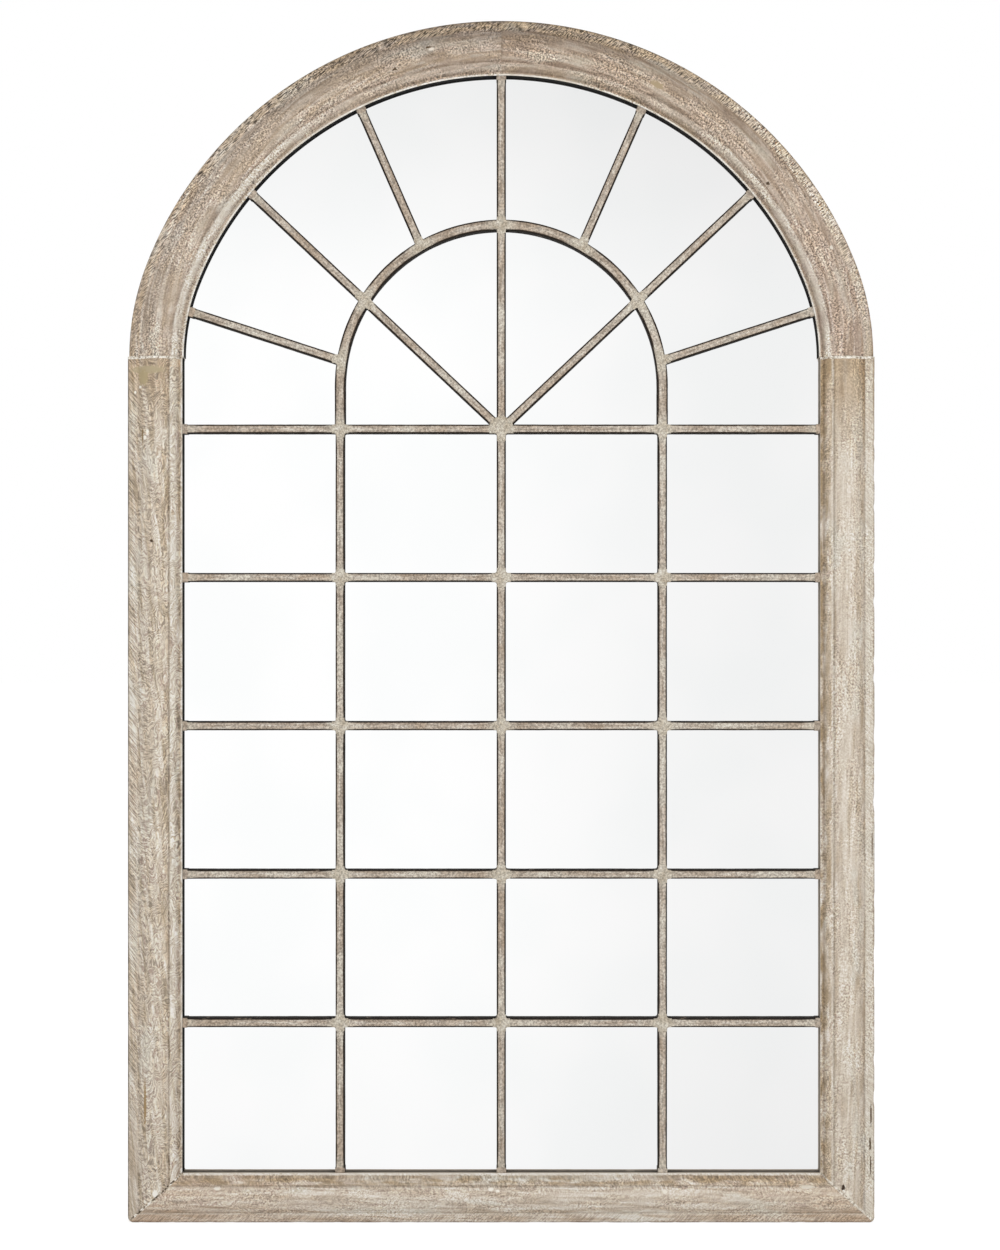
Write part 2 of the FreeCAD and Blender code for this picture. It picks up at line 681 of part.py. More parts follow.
def make_crossbars():
    for row in range(CROSSBARS + 1):
        name = f"crossbar_{row}" if row else "springing_bar"
        middle = crossbar_height(row)
        half = "Sizes.bar_width / 2"
        new_bar(name, rectangle("0 - Derived.sight_half", "Derived.sight_half",
                                f"{middle} - {half}", f"{middle} + {half}"))


def make_uprights():
    """Short uprights between the crossbars, and from the lowest one to the bottom rail."""
    half = "Sizes.bar_width / 2"
    for name, column in COLUMNS:
        middle = f"{column} * Derived.bay"
        for row in range(CROSSBARS + 1):
            top = f"{crossbar_height(row)} - {half}"
            foot = f"{crossbar_height(row + 1)} + {half}" if row < CROSSBARS else "Sizes.rail_face"
            new_bar(f"upright_{name}_{row + 1}",
                    rectangle(f"{middle} - {half}", f"{middle} + {half}", foot, top))


def make_hoop():
    """The bent bar round the fan: a half circle on two straight legs."""
    foot = "Derived.springing_top"
    springing = "Derived.hoop_centre"
    inner = "Derived.hoop_inner"
    outer = "Derived.hoop_outer"
    new_bar("hoop_bar", [
        (outer, foot),
        (outer, springing, "0", springing, outer),
        ("0", f"{springing} + {outer}", "0", springing, outer),
        (f"0 - {outer}", springing),
        (f"0 - {outer}", foot),
        (f"0 - {inner}", foot),
        (f"0 - {inner}", springing, "0", springing, inner),
        ("0", f"{springing} + {inner}", "0", springing, inner),
        (inner, springing),
        (inner, foot),
    ])


def make_spokes():
    half = "Sizes.bar_width / 2"
    upper = new_bar("spoke_upper", rectangle(f"0 - {half}", half, "Derived.hoop_centre",
                                             "Derived.total_height"))
    cut_bar(upper, HOOP_OUTSIDE)
    cut_bar(upper, EVERYWHERE, arched("0 - Sizes.weld_gap"))
    lower = new_bar("spoke_lower", rectangle(f"0 - {half}", half, "Derived.springing_top",
                                             "Derived.hoop_centre + Derived.hoop_outer"))
    cut_bar(lower, EVERYWHERE, HOOP_INSIDE)


def slanted(side, angle, foot):
    """A bar's outline that leaves the middle line at a height, and runs past the frame."""
    half = "Sizes.bar_width / 2"
    end_x = f"Derived.reach * cos({angle})"
    end_z = f"{foot} + Derived.reach * sin({angle})"
    aside_x = f"{half} * sin({angle})"
    aside_z = f"{half} * cos({angle})"
    return [
        (f"{side} * {aside_x}", f"{foot} - {aside_z}"),
        (f"{side} * ({end_x} + {aside_x})", f"{end_z} - {aside_z}"),
        (f"{side} * ({end_x} - {aside_x})", f"{end_z} + {aside_z}"),
        (f"0 - {side} * {aside_x}", f"{foot} + {aside_z}"),
    ]


def make_rays():
    """The rays between the hoop and the arch, and the diagonals between the hub and the hoop."""
    rays = [
        ("low", "Sizes.low_ray_angle", "(Derived.springing_height + Sizes.low_ray_lift)"),
        ("middle", "Sizes.middle_ray_angle", "Derived.springing_height"),
        ("high", "Sizes.high_ray_angle", "Derived.springing_height"),
    ]
    for side_name, side in SIDES:
        for name, angle, foot in rays:
            ray = new_bar(f"ray_{name}_{side_name}", slanted(side, angle, foot))
            cut_bar(ray, HOOP_OUTSIDE)
            cut_bar(ray, EVERYWHERE, arched("0 - Sizes.weld_gap"))
        name, angle, foot = rays[1]
        diagonal = new_bar(f"diagonal_{side_name}", slanted(side, angle, foot))
        cut_bar(diagonal, EVERYWHERE, HOOP_INSIDE)
        level = "Derived.springing_top + Sizes.weld_gap"
        cut_bar(diagonal, rectangle("0 - Derived.reach", "Derived.reach", "0 - Derived.reach", level))
        beside = f"{side} * (Sizes.bar_width / 2 + Sizes.weld_gap)"
        beyond = f"0 - {side} * Derived.reach"
        cut_bar(diagonal, rectangle(beside, beyond, "0 - Derived.reach", "2 * Derived.reach"))


def weld_corners():
    """Corners of the grille that hold a weld: a place, and the way its two legs run."""
    half = number("Sizes.bar_width") / 2
    hoop_half = number("Sizes.hoop_width") / 2
    sight = number("Derived.sight_half")
    corners = []
    for row in range(CROSSBARS + 1):
        height = number(crossbar_height(row))
        for _, side in SIDES:
            for up in (-1, 1):
                corners.append((side * sight, height + up * half, -side, up))
        for _, column in COLUMNS:
            middle = column * number("Derived.bay")
            for across in (-1, 1):
                corners.append((middle + across * half, height - half, across, -1))
                if row > 0:
                    corners.append((middle + across * half, height + half, across, 1))
                elif column:
                    corners.append((middle + across * hoop_half, height + half, across, 1))
    for _, column in COLUMNS:
        for across in (-1, 1):
            foot = number(f"{column} * Derived.bay") + across * half
            corners.append((foot, number("Sizes.rail_face"), across, 1))
    return corners


def make_welds():
    """Small three-sided fillets of weld, which reach from the bars' backs to their arrises."""
    piece = new_node("weld_fillets", "Part::Feature")
    leg = number("Sizes.weld_leg")
    height = number("Sizes.bar_depth - Sizes.bar_arris")
    back = -number("Derived.bar_back")
    fillets = []
    for x, z, across, up in weld_corners():
        corner = FreeCAD.Vector(x, back, z)
        beside = FreeCAD.Vector(x + across * leg, back, z)
        above = FreeCAD.Vector(x, back, z + up * leg)
        face = Part.Face(Part.makePolygon([corner, beside, above, corner]))
        fillets.append(face.extrude(FreeCAD.Vector(0, -height, 0)))
    piece.Shape = Part.makeCompound(fillets)
    piece.Placement = FreeCAD.Placement(FreeCAD.Vector(0, 0, -number("Derived.hang_height")),
                                        FreeCAD.Rotation())


# The hangers and bumpers on the back.

def make_strap(name, side):
    """A strap whose top is curled into an eye for the ring."""
    body = new_node(f"strap_{name}")
    inner = "Derived.eye_inner"
    outer = "Derived.eye_outer"
    hinge = "Derived.hang_height"
    foot = f"{hinge} - Sizes.strap_length"
    cosine = "cos(Sizes.curl_angle)"
    sine = "sin(Sizes.curl_angle)"
    profile = new_sketch(body, "YZ_Plane",
                         f"{side} * Derived.hanger_line - Sizes.strap_width / 2")
    draw_run(profile, [
        ("0", foot),
        ("0", hinge, outer, hinge, outer),
        (outer, f"{hinge} + {outer}", outer, hinge, outer),
        (f"2 * {outer}", hinge, outer, hinge, outer),
        (f"{outer} + {outer} * {cosine}", f"{hinge} - {outer} * {sine}"),
        (f"{outer} + {inner} * {cosine}", f"{hinge} - {inner} * {sine}",
         outer, hinge, inner),
        (f"{outer} + {inner}", hinge, outer, hinge, inner),
        (outer, f"{hinge} + {inner}", outer, hinge, inner),
        ("Sizes.strap_thickness", hinge),
        ("Sizes.strap_thickness", foot),
    ])
    plate = pad(body, profile, "Sizes.strap_width")
    bottom = number(foot)
    corners = []
    for place, edge in enumerate(plate.Shape.Edges, start=1):
        low = all(abs(vertex.Point.z - bottom) < 1e-6 for vertex in edge.Vertexes)
        flat = abs(edge.Vertexes[0].Point.x - edge.Vertexes[-1].Point.x) < 1e-6
        if low and flat:
            corners.append(f"Edge{place}")
    rounding = body.newObject("PartDesign::Fillet", body.Name + "_rounding")
    rounding.Base = (plate, corners)
    rounding.setExpression("Radius", "Sizes.strap_corner")
    doc.recompute()
    holes = new_sketch(body, "XZ_Plane")
    draw_circles(holes, strap_screws(side), "Sizes.screw_diameter / 2 + Sizes.screw_hole_clearance")
    pocket(body, holes, forwards=False)


def make_ring(name, side):
    """A wire ring with a straight side in the eye and a round bow, hanging down."""
    body = new_node(f"ring_{name}")
    middle = f"{side} * Derived.hanger_line"
    hinge = "Derived.hang_height"
    half = "Sizes.ring_width / 2"
    bend = "Sizes.ring_bend"
    bow = f"{hinge} - Sizes.ring_leg"
    path = new_sketch(body, "XZ_Plane", "0 - Derived.eye_outer")
    draw_run(path, [
        (middle, hinge),
        (f"{middle} + {half} - {bend}", hinge,
         f"{middle} + {half} - {bend}", f"{hinge} - {bend}", bend),
        (f"{middle} + {half}", f"{hinge} - {bend}"),
        (f"{middle} + {half}", bow, middle, bow, half),
        (middle, f"{bow} - {half}", middle, bow, half),
        (f"{middle} - {half}", bow),
        (f"{middle} - {half}", f"{hinge} - {bend}",
         f"{middle} - {half} + {bend}", f"{hinge} - {bend}", bend),
        (f"{middle} - {half} + {bend}", hinge),
    ])
    wire = new_sketch(body, "YZ_Plane", middle)
    draw_circles(wire, [("Derived.eye_outer", hinge)], "Sizes.ring_wire / 2")
    doc.recompute()
    sweep = body.newObject("PartDesign::AdditivePipe", body.Name + "_sweep")
    sweep.Profile = wire
    sweep.Spine = (path, [])
    doc.recompute()


def make_bumpers():
    body = new_node("wall_bumpers")
    body.AllowCompound = True
    discs = new_sketch(body, "XZ_Plane")
    centres = []
    for _, side in SIDES:
        centres.append((f"{side} * (Derived.half_width - Sizes.bumper_inset)", "Sizes.bumper_height"))
    draw_circles(discs, centres, "Sizes.bumper_diameter / 2")
    pad(body, discs, "Sizes.bumper_thickness", True)


def make_all():
    for name, side in SIDES:
        make_stile(name, side)
        make_arch(name, side)
    make_rail()
    make_dowels()
    make_mirror()
    make_board()
    make_screws("board_screws", every_board_screw(), "0", True)
    make_crossbars()
    make_uprights()
    make_hoop()
    make_spokes()
    make_rays()
    make_welds()
    for name, side in SIDES:
        make_strap(name, side)
        make_ring(name, side)
    make_screws("hanger_screws", strap_screws(-1) + strap_screws(1), "Sizes.strap_thickness", False)
    make_bumpers()


def check_all():
    for item in doc.Objects:
        if "Invalid" in item.State or "Error" in item.State:
            raise RuntimeError(f"{item.Label} failed: {item.State}")
    for piece in nodes:
        if piece.Shape.isNull() or not piece.Shape.isValid():
            raise RuntimeError(f"{piece.Label} has no valid shape")


make_all()
doc.recompute()
check_all()
os.makedirs("parts", exist_ok=True)
for piece in nodes:
    piece.Shape.exportStep(f"parts/{piece.Label}.step")
    print(f"{piece.Label}: {len(piece.Shape.Solids)} solids, {piece.Shape.Volume:.0f} mm3")
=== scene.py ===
"""Looks of the arched window mirror: limewashed wood, welded glazing bars, a sheet of mirror."""

import math

import bmesh
import bpy
from bpy.props import FloatProperty, PointerProperty, StringProperty
from bpy.types import Operator, Panel, PropertyGroup
from mathutils import Matrix, Vector, noise


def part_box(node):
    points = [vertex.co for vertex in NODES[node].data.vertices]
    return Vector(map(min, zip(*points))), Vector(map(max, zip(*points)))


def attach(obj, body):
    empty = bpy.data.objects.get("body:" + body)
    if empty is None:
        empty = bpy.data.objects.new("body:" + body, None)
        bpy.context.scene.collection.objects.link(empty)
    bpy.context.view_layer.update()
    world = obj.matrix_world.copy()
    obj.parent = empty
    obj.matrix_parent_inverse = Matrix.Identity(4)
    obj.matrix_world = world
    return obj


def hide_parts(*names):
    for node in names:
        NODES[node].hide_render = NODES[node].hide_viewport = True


bl_info = {
    "name": "Arched window mirror",
    "version": (1, 0, 0),
    "blender": (4, 5, 0),
    "location": "3D View > Sidebar > Mirror",
    "description": "Frame, grille, mirror, back and studio of an arched window mirror",
    "category": "Object",
}

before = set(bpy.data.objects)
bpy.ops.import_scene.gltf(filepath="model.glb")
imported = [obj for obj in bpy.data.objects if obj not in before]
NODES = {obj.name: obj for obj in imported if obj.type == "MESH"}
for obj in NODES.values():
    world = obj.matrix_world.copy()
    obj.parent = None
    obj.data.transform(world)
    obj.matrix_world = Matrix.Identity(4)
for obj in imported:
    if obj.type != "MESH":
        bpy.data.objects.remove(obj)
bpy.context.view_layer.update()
MM = 0.001

# Sizes read from the frame, in metres.
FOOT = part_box("bottom_rail")[0].z
RAIL_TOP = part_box("bottom_rail")[1].z
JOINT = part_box("left_stile")[1].z
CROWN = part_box("arch_left")[1].z
HALF_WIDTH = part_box("right_stile")[1].x
SIGHT_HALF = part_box("right_stile")[0].x
ARCH_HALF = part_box("arch_right")[1].x
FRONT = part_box("right_stile")[0].y
FACE = HALF_WIDTH - SIGHT_HALF
RAIL_FACE = RAIL_TOP - FOOT
BAR_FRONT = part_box("springing_bar")[0].y
BAR_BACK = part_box("springing_bar")[1].y
BAR_HALF = (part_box("springing_bar")[1].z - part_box("springing_bar")[0].z) / 2
SPRINGING = (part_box("springing_bar")[1].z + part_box("springing_bar")[0].z) / 2
SPRINGING_MIDDLE = Vector((0, 0, SPRINGING))
HOOP_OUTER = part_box("hoop_bar")[1].x
HOOP_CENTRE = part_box("hoop_bar")[1].z - HOOP_OUTER
BAY = (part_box("upright_right_1")[0].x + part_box("upright_right_1")[1].x) / 2
HOOP_HALF = HOOP_OUTER - BAY
HOOP_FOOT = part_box("hoop_bar")[0].z
HOOP_MIDDLE = Vector((0, 0, HOOP_CENTRE))

# The arch is a short haunch on one centre and a crown on another.
HAUNCH_INSET = 133.5 * MM
HAUNCH_RADIUS = ARCH_HALF - HAUNCH_INSET
ARCH_RISE = CROWN - JOINT
CROWN_DROP = ARCH_HALF - ARCH_RISE
CROWN_RADIUS = (HAUNCH_INSET ** 2 / (2 * (HAUNCH_INSET - CROWN_DROP))
                + (ARCH_RISE + HAUNCH_RADIUS) / 2)
CROWN_CENTRE = CROWN - CROWN_RADIUS
TURN = math.atan2(JOINT - CROWN_CENTRE, HAUNCH_INSET)

# The fan.
MIDDLE_RAY = math.radians(43.3)
HIGH_RAY = math.radians(66.3)
LOW_RAY = math.radians(18)
LOW_RAY_LIFT = 19 * MM
RAYS = (("low", LOW_RAY, LOW_RAY_LIFT), ("middle", MIDDLE_RAY, 0.0), ("high", HIGH_RAY, 0.0))

# Depths of the moulding, from the back plane (0) towards the front.
BACK = -0.02 * MM
REBATE = -8.02 * MM
WORN_FROM = -8.5 * MM
FRONT_PART = -10 * MM
FILLED_FROM = -18.5 * MM

SIDES = (("left", -1), ("right", 1))
COLUMNS = (("left", -1), ("middle", 0), ("right", 1))
ROWS = 5
RIGHT, LEFT = Vector((1, 0, 0)), Vector((-1, 0, 0))
UP, DOWN = Vector((0, 0, 1)), Vector((0, 0, -1))
SOFT_ANGLE = math.radians(38)


# Colours and nodes.

def linear(hex_colour):
    """An sRGB hex colour such as "C2B7A8" as linear red, green, blue and alpha."""
    channels = []
    for place in (0, 2, 4):
        value = int(hex_colour[place:place + 2], 16) / 255
        channels.append(value / 12.92 if value <= 0.04045 else ((value + 0.055) / 1.055) ** 2.4)
    return (*channels, 1.0)


def per(millimetres):
    """The scale of a pattern that repeats about once in that many millimetres."""
    return 1000 / millimetres


# The nodes used again and again: Blender's type, its settings, the inputs that a call fills in
# their order, and the output that it gives.
SUMS = ("ADD", "SUBTRACT", "MULTIPLY", "DIVIDE", "MULTIPLY_ADD", "SQRT", "ABSOLUTE", "MAXIMUM")
MIX_INPUTS = (0, 6, 7)
MIX_COLOUR = 2
KINDS = {
    **{name: ("Math", {"operation": name}, (0, 1, 2), 0) for name in SUMS},
    "mix": ("Mix", {"data_type": "RGBA"}, MIX_INPUTS, MIX_COLOUR),
    "tint": ("Mix", {"data_type": "RGBA", "blend_type": "MULTIPLY"}, MIX_INPUTS, MIX_COLOUR),
    "overlay": ("Mix", {"data_type": "RGBA", "blend_type": "OVERLAY"}, MIX_INPUTS, MIX_COLOUR),
    # A value between two limits as 0 to 1, or as two other levels that follow.
    "step": ("MapRange", {"interpolation_type": "SMOOTHSTEP"}, (0, 1, 2, 3, 4), 0),
    "noise": ("TexNoise", {}, ("Vector", "Scale", "Detail", "Roughness", "Distortion"), 0),
    "ramp": ("ValToRGB", {}, (0,), 0),
    "place": ("TexCoord", {}, (), "Object"),
    "grain": ("UVMap", {"uv_map": "grain"}, (), 0),
}
# Most levels of a noise lie between these.
LOW, HIGH = 0.34, 0.66


def add(tree, kind, *values, settings=None, inputs=None, stops=()):
    """Add a node with its settings, and set its inputs or link them to other nodes.

    The kind is one of KINDS and gives its output, or else it is the end of Blender's own name
    and gives all outputs. Stops are a ramp's places with hex colours or grey levels.
    """
    name, preset, order, output = KINDS.get(kind, (kind, {}, (), None))
    node = tree.nodes.new(f"ShaderNode{name}")
    for setting, value in (settings or preset).items():
        setattr(node, setting, value)
    for place, value in [*zip(order, values), *(inputs or {}).items()]:
        if isinstance(value, bpy.types.NodeSocket):
            tree.links.new(value, node.inputs[place])
        else:
            node.inputs[place].default_value = value
    if stops:
        elements = node.color_ramp.elements
        while len(elements) < len(stops):
            elements.new(0.5)
        for element, (position, colour) in zip(elements, stops):
            element.position = position
            element.color = linear(colour) if isinstance(colour, str) else (*[colour] * 3, 1.0)
    return node.outputs if output is None else node.outputs[output]


def new_material(name):
    material = bpy.data.materials.new(name)
    material.use_nodes = True
    tree = material.node_tree
    tree.nodes.clear()
    return material, tree


def finish_material(tree, inputs, height=None, depth=0.4 * MM, strength=1.0):
    """The surface: one Principled shader, with a bump of a real depth where one is given."""
    if height is not None:
        settings = {"Height": height, "Distance": depth, "Strength": strength}
        bump = add(tree, "Bump", inputs=settings)
        inputs["Normal"] = bump["Normal"]
    surface = add(tree, "BsdfPrincipled", inputs=inputs)
    add(tree, "OutputMaterial", inputs={"Surface": surface["BSDF"]})


def grain_place(tree, along, across, seed=0.0, slant=0.0):
    """Coordinates that follow the piece, with a real length in millimetres each way as one."""
    turned = add(tree, "VectorRotate", settings={"rotation_type": "Z_AXIS"},
                 inputs={"Vector": add(tree, "grain"), "Angle": slant})
    return add(tree, "Mapping", inputs={
        "Vector": turned["Vector"], "Location": (seed, 2.7 * seed, 0),
        "Scale": (per(along), per(across), 1)})["Vector"]


def spot(tree, along, across, place, size, ragged):
    """A mark at one place of a piece: 1 in its middle and 0 outside its ragged rim."""
    level = 0.0
    for value, middle, half in ((along, place[0], size[0]), (across, place[1], size[1])):
        off = add(tree, "DIVIDE", add(tree, "SUBTRACT", value, middle), half)
        level = add(tree, "ADD", level, add(tree, "MULTIPLY", off, off))
    rim = add(tree, "MULTIPLY", add(tree, "SUBTRACT", ragged, 0.5), 3.0)
    return add(tree, "step", add(tree, "ADD", level, rim), 1.3, 0.5)


def strokes(tree, along, across, lean, fold, length, seed, warp=5 * MM, width=2.1):
    """Brush strokes that lean one way as far as the fold and the other way past it.

    Their length and width are in millimetres; the warp is how far they wander.
    """
    wander = add(tree, "noise", grain_place(tree, 34, 20, seed + 2), 1, 2)
    fold = add(tree, "MULTIPLY_ADD", add(tree, "SUBTRACT", wander, 0.5), warp * 14, fold)
    past = add(tree, "SUBTRACT", across, fold)
    past = add(tree, "SQRT", add(tree, "MULTIPLY_ADD", past, past, (4 * MM) ** 2))
    down = add(tree, "MULTIPLY_ADD", past, -lean, along)
    down = add(tree, "MULTIPLY_ADD", wander, warp * 4, down)
    place = add(tree, "CombineXYZ", inputs={
        "X": add(tree, "MULTIPLY", down, per(width)),
        "Y": add(tree, "MULTIPLY", across, per(length)), "Z": seed})
    return add(tree, "noise", place["Vector"], 1, 1, 0.6, 0.25)


# The materials.

def fir_and_wash(tree, look, length):
    """The figure of the wood and the clouds of wash on it, with the figure's own levels."""
    seed = look["seed"]
    # The figure is about 5 mm wide and 70 mm long.
    figure = add(tree, "noise", grain_place(tree, 70, 5, seed, look["slant"]), 1, 4, 0.6, 0.8)
    colour = add(tree, "ramp", figure, stops=[*zip((0.36, 0.5, 0.64), look["tones"])])
    # Cloudy wash, tan where it is thin and grey-white where it lies thick.
    cloud = add(tree, "noise", grain_place(tree, 90, 24, seed + 7), 1, 4, 0.62)
    for start, end, hex_colour in ((0.52, 0.66, "CFCBC0"), (0.48, 0.35, "B3A28F")):
        share = add(tree, "step", cloud, start, end, 0, look["cloud"])
        colour = add(tree, "mix", share, colour, linear(hex_colour))
    # Darker and browner stretches along the piece.
    stretches = add(tree, "ramp", length, stops=look["along"])
    return add(tree, "tint", 1.0, colour, stretches), figure


def painted_profile_shade_and_wear(tree, colour, look, share, length, face):
    """What the moulding does to the wash, from its outer edge to the sight edge: painted shade and
    highlights across the profile, thick wash, and bare wood where it is worn.
    """
    broken = add(tree, "noise", grain_place(tree, 26, 8, look["seed"] + 23), 1, 3)
    broken = add(tree, "step", broken, 0.36, 0.6)
    # Painted shade and highlight across the profile: darker at the outer edge, in the quirk and at
    # the bead's foot, lighter on the main face. On the arch it fades towards the foot.
    shown = add(tree, "step", length, 0.3, 0.95, look["foot_members"], 1)
    shown = add(tree, "MULTIPLY", face, shown)
    colour = add(tree, "tint", shown, colour, add(tree, "ramp", share, stops=look["members"]))
    # Pale wash on the raised members and at the sight edge: partly thick wash, partly painted
    # highlight.
    chalk = add(tree, "MULTIPLY", add(tree, "ramp", share, stops=look["chalk"]),
                add(tree, "MULTIPLY_ADD", broken, 0.6, 0.4))
    for start, end, levels in ((0.35, 0.75, (1, look["bead_end"])),
                               (0.1, 0.3, (look["bead_start"], 1))):
        chalk = add(tree, "MULTIPLY", chalk, add(tree, "step", length, start, end, *levels))
    colour = add(tree, "mix", chalk, colour, linear("D9D3C7"))
    # A painted highlight along the sight edge.
    arris = add(tree, "step", share, 0.966, 0.976, 0, look["arris"])
    colour = add(tree, "mix", arris, colour, linear("EAE5DB"))
    brown = add(tree, "MULTIPLY", add(tree, "ramp", share, stops=look["brown"]), broken)
    return add(tree, "mix", brown, colour, linear("A08B6E"))


def saw_marks(tree, along, across, look):
    """Slanting marks of the saw, about 3 mm apart. On the arch they all lean one way."""
    if "saw_turn" not in look:
        return strokes(tree, along, across, -look["saw"], -40 * MM, 12, look["seed"] + 29,
                       0.4 * MM, 1.25)
    turned = add(tree, "VectorRotate", settings={"rotation_type": "Y_AXIS"},
                 inputs={"Vector": add(tree, "place"), "Angle": look["saw_turn"]})
    place = add(tree, "Mapping", inputs={
        "Vector": turned["Vector"], "Scale": (per(1.35), 0, per(8))})
    return add(tree, "noise", place["Vector"], 1, 2, 0.6)


def limewashed_wood(name, look):
    """Fir under a rubbed limewash: milled to a moulding, washed, sanded back and sealed matt.

    The brush and the chalk grains leave fine pale and dark strokes, thick wash lies grey-white
    in the hollows, and brown wood comes through on edges, in dents and near the joints. Painted
    shade and highlights across the profile stand for its light: dark at the outer edge, in the
    quirk and at the bead's foot, pale on the raised members and along the sight edge.
    """
    material, tree = new_material(name)
    seed = look["seed"]
    along, across, _ = add(tree, "SeparateXYZ", inputs={"Vector": add(tree, "grain")})
    share = add(tree, "DIVIDE", across, FACE)
    length = add(tree, "DIVIDE", add(tree, "SUBTRACT", along, look["start"]), look["length"])
    face = add(tree, "step", across, -2.5 * MM, -0.6 * MM)
    colour, figure = fir_and_wash(tree, look, length)
    colour = painted_profile_shade_and_wear(tree, colour, look, share, length, face)
    # Strokes and grit of the wash, about 2.5 mm. The flat outer band is sawn, not brushed.
    brushed = strokes(tree, along, across, look["lean"], look["fold"], 8, seed + 13)
    band = add(tree, "MULTIPLY", add(tree, "step", share, 0.21, 0.17),
               add(tree, "step", share, 0.0, 0.02))
    grit = add(tree, "noise", grain_place(tree, 2.3, 2.2, seed + 11), 1, 2, 0.7)
    patches = add(tree, "noise", grain_place(tree, 70, 22, seed + 17), 1, 3, 0.6)
    patches = add(tree, "step", patches, 0.38, 0.6)
    depth = add(tree, "MULTIPLY", add(tree, "MULTIPLY_ADD", band, -0.9, 1.0),
                add(tree, "MULTIPLY_ADD", patches, 0.12, look["strokes"]))
    colour = add(tree, "overlay", depth, colour, add(tree, "step", brushed, LOW, HIGH, 0.1, 0.95))
    depth = add(tree, "MULTIPLY_ADD", patches, look["stipple"], 0.12)
    colour = add(tree, "overlay", depth, colour, add(tree, "step", grit, LOW, HIGH, 0.05, 1.0))
    saw = saw_marks(tree, along, across, look)
    depth = add(tree, "MULTIPLY", band, add(tree, "step", length, 0.0, 0.3, look["saw_start"], 1))
    depth = add(tree, "MULTIPLY", depth, look["saw_depth"])
    colour = add(tree, "overlay", depth, colour, add(tree, "step", saw, 0.36, 0.6, 0.0, 1.0))
    # Chips on the outer edge, down to dark wood, and a few single marks.
    chip = add(tree, "noise", grain_place(tree, 9, 2.6, seed + 31), 1, 3, 0.7)
    edge = add(tree, "MULTIPLY", add(tree, "step", across, look["edge"] * MM, 0.2 * MM), face)
    edge = add(tree, "MULTIPLY", edge, add(tree, "step", chip, 0.54, 0.58, 0, 0.9))
    colour = add(tree, "mix", edge, colour, linear("5A4C3C"))
    for mark_along, mark_across, long, wide, hex_colour in look["marks"]:
        mark = spot(tree, along, across, (mark_along * MM, mark_across * MM),
                    (long * MM, wide * MM), grit)
        colour = add(tree, "mix", mark, colour, linear(hex_colour))
    height = add(tree, "ADD", brushed, add(tree, "MULTIPLY", grit, 0.9))
    sawn = add(tree, "MULTIPLY", add(tree, "MULTIPLY", band, saw), 1.2)
    height = add(tree, "ADD", height, sawn)
    rough = add(tree, "step", figure, 0.3, 0.7, 0.88, 0.72)
    finish_material(tree, {"Base Color": colour, "Roughness": rough, "Specular IOR Level": 0.3},
                    height, 0.45 * MM, 0.7)
    return material


def recess_paint_and_shade(name, seed, dark, front, depth):
    """Brushed paint on the wall between the sight edge and the mirror, with painted shade: it
    darkens inwards towards the glass.
    """
    material, tree = new_material(name)
    rub = add(tree, "noise", grain_place(tree, 24, 5, seed), 1, 4, 0.65)
    _, inwards, _ = add(tree, "SeparateXYZ", inputs={"Vector": add(tree, "place")})
    inwards = add(tree, "MULTIPLY_ADD", rub, 3 * MM, inwards)
    # Painted shade: the wall turns to its dark colour towards the glass.
    share = add(tree, "step", inwards, (depth + 0.6) * MM, (depth + 2.4) * MM)
    colour = add(tree, "mix", share, linear(front), linear(dark))
    finish_material(tree, {"Base Color": colour, "Roughness": 0.85, "Specular IOR Level": 0.15},
                    rub, 0.3 * MM, 0.6)
    return material


def raw_fir():
    """Planed fir left bare on the back: pale yellow, with darker lines of late wood."""
    material, tree = new_material("raw_fir")
    rings = add(tree, "noise", grain_place(tree, 220, 4.5, 5.0), 1, 3, 0.55, 0.6)
    colour = add(tree, "ramp", rings, stops=[(0.35, "B08A5E"), (0.5, "CBA878"), (0.68, "DABE93")])
    fuzz = add(tree, "noise", grain_place(tree, 8, 0.7, 9.0), 1, 2, 0.6)
    share = add(tree, "step", fuzz, 0.35, 0.65, 0.25, 0)
    colour = add(tree, "mix", share, colour, linear("8E6C46"))
    finish_material(tree, {"Base Color": colour, "Roughness": 0.8}, fuzz, 0.2 * MM, 0.5)
    return material


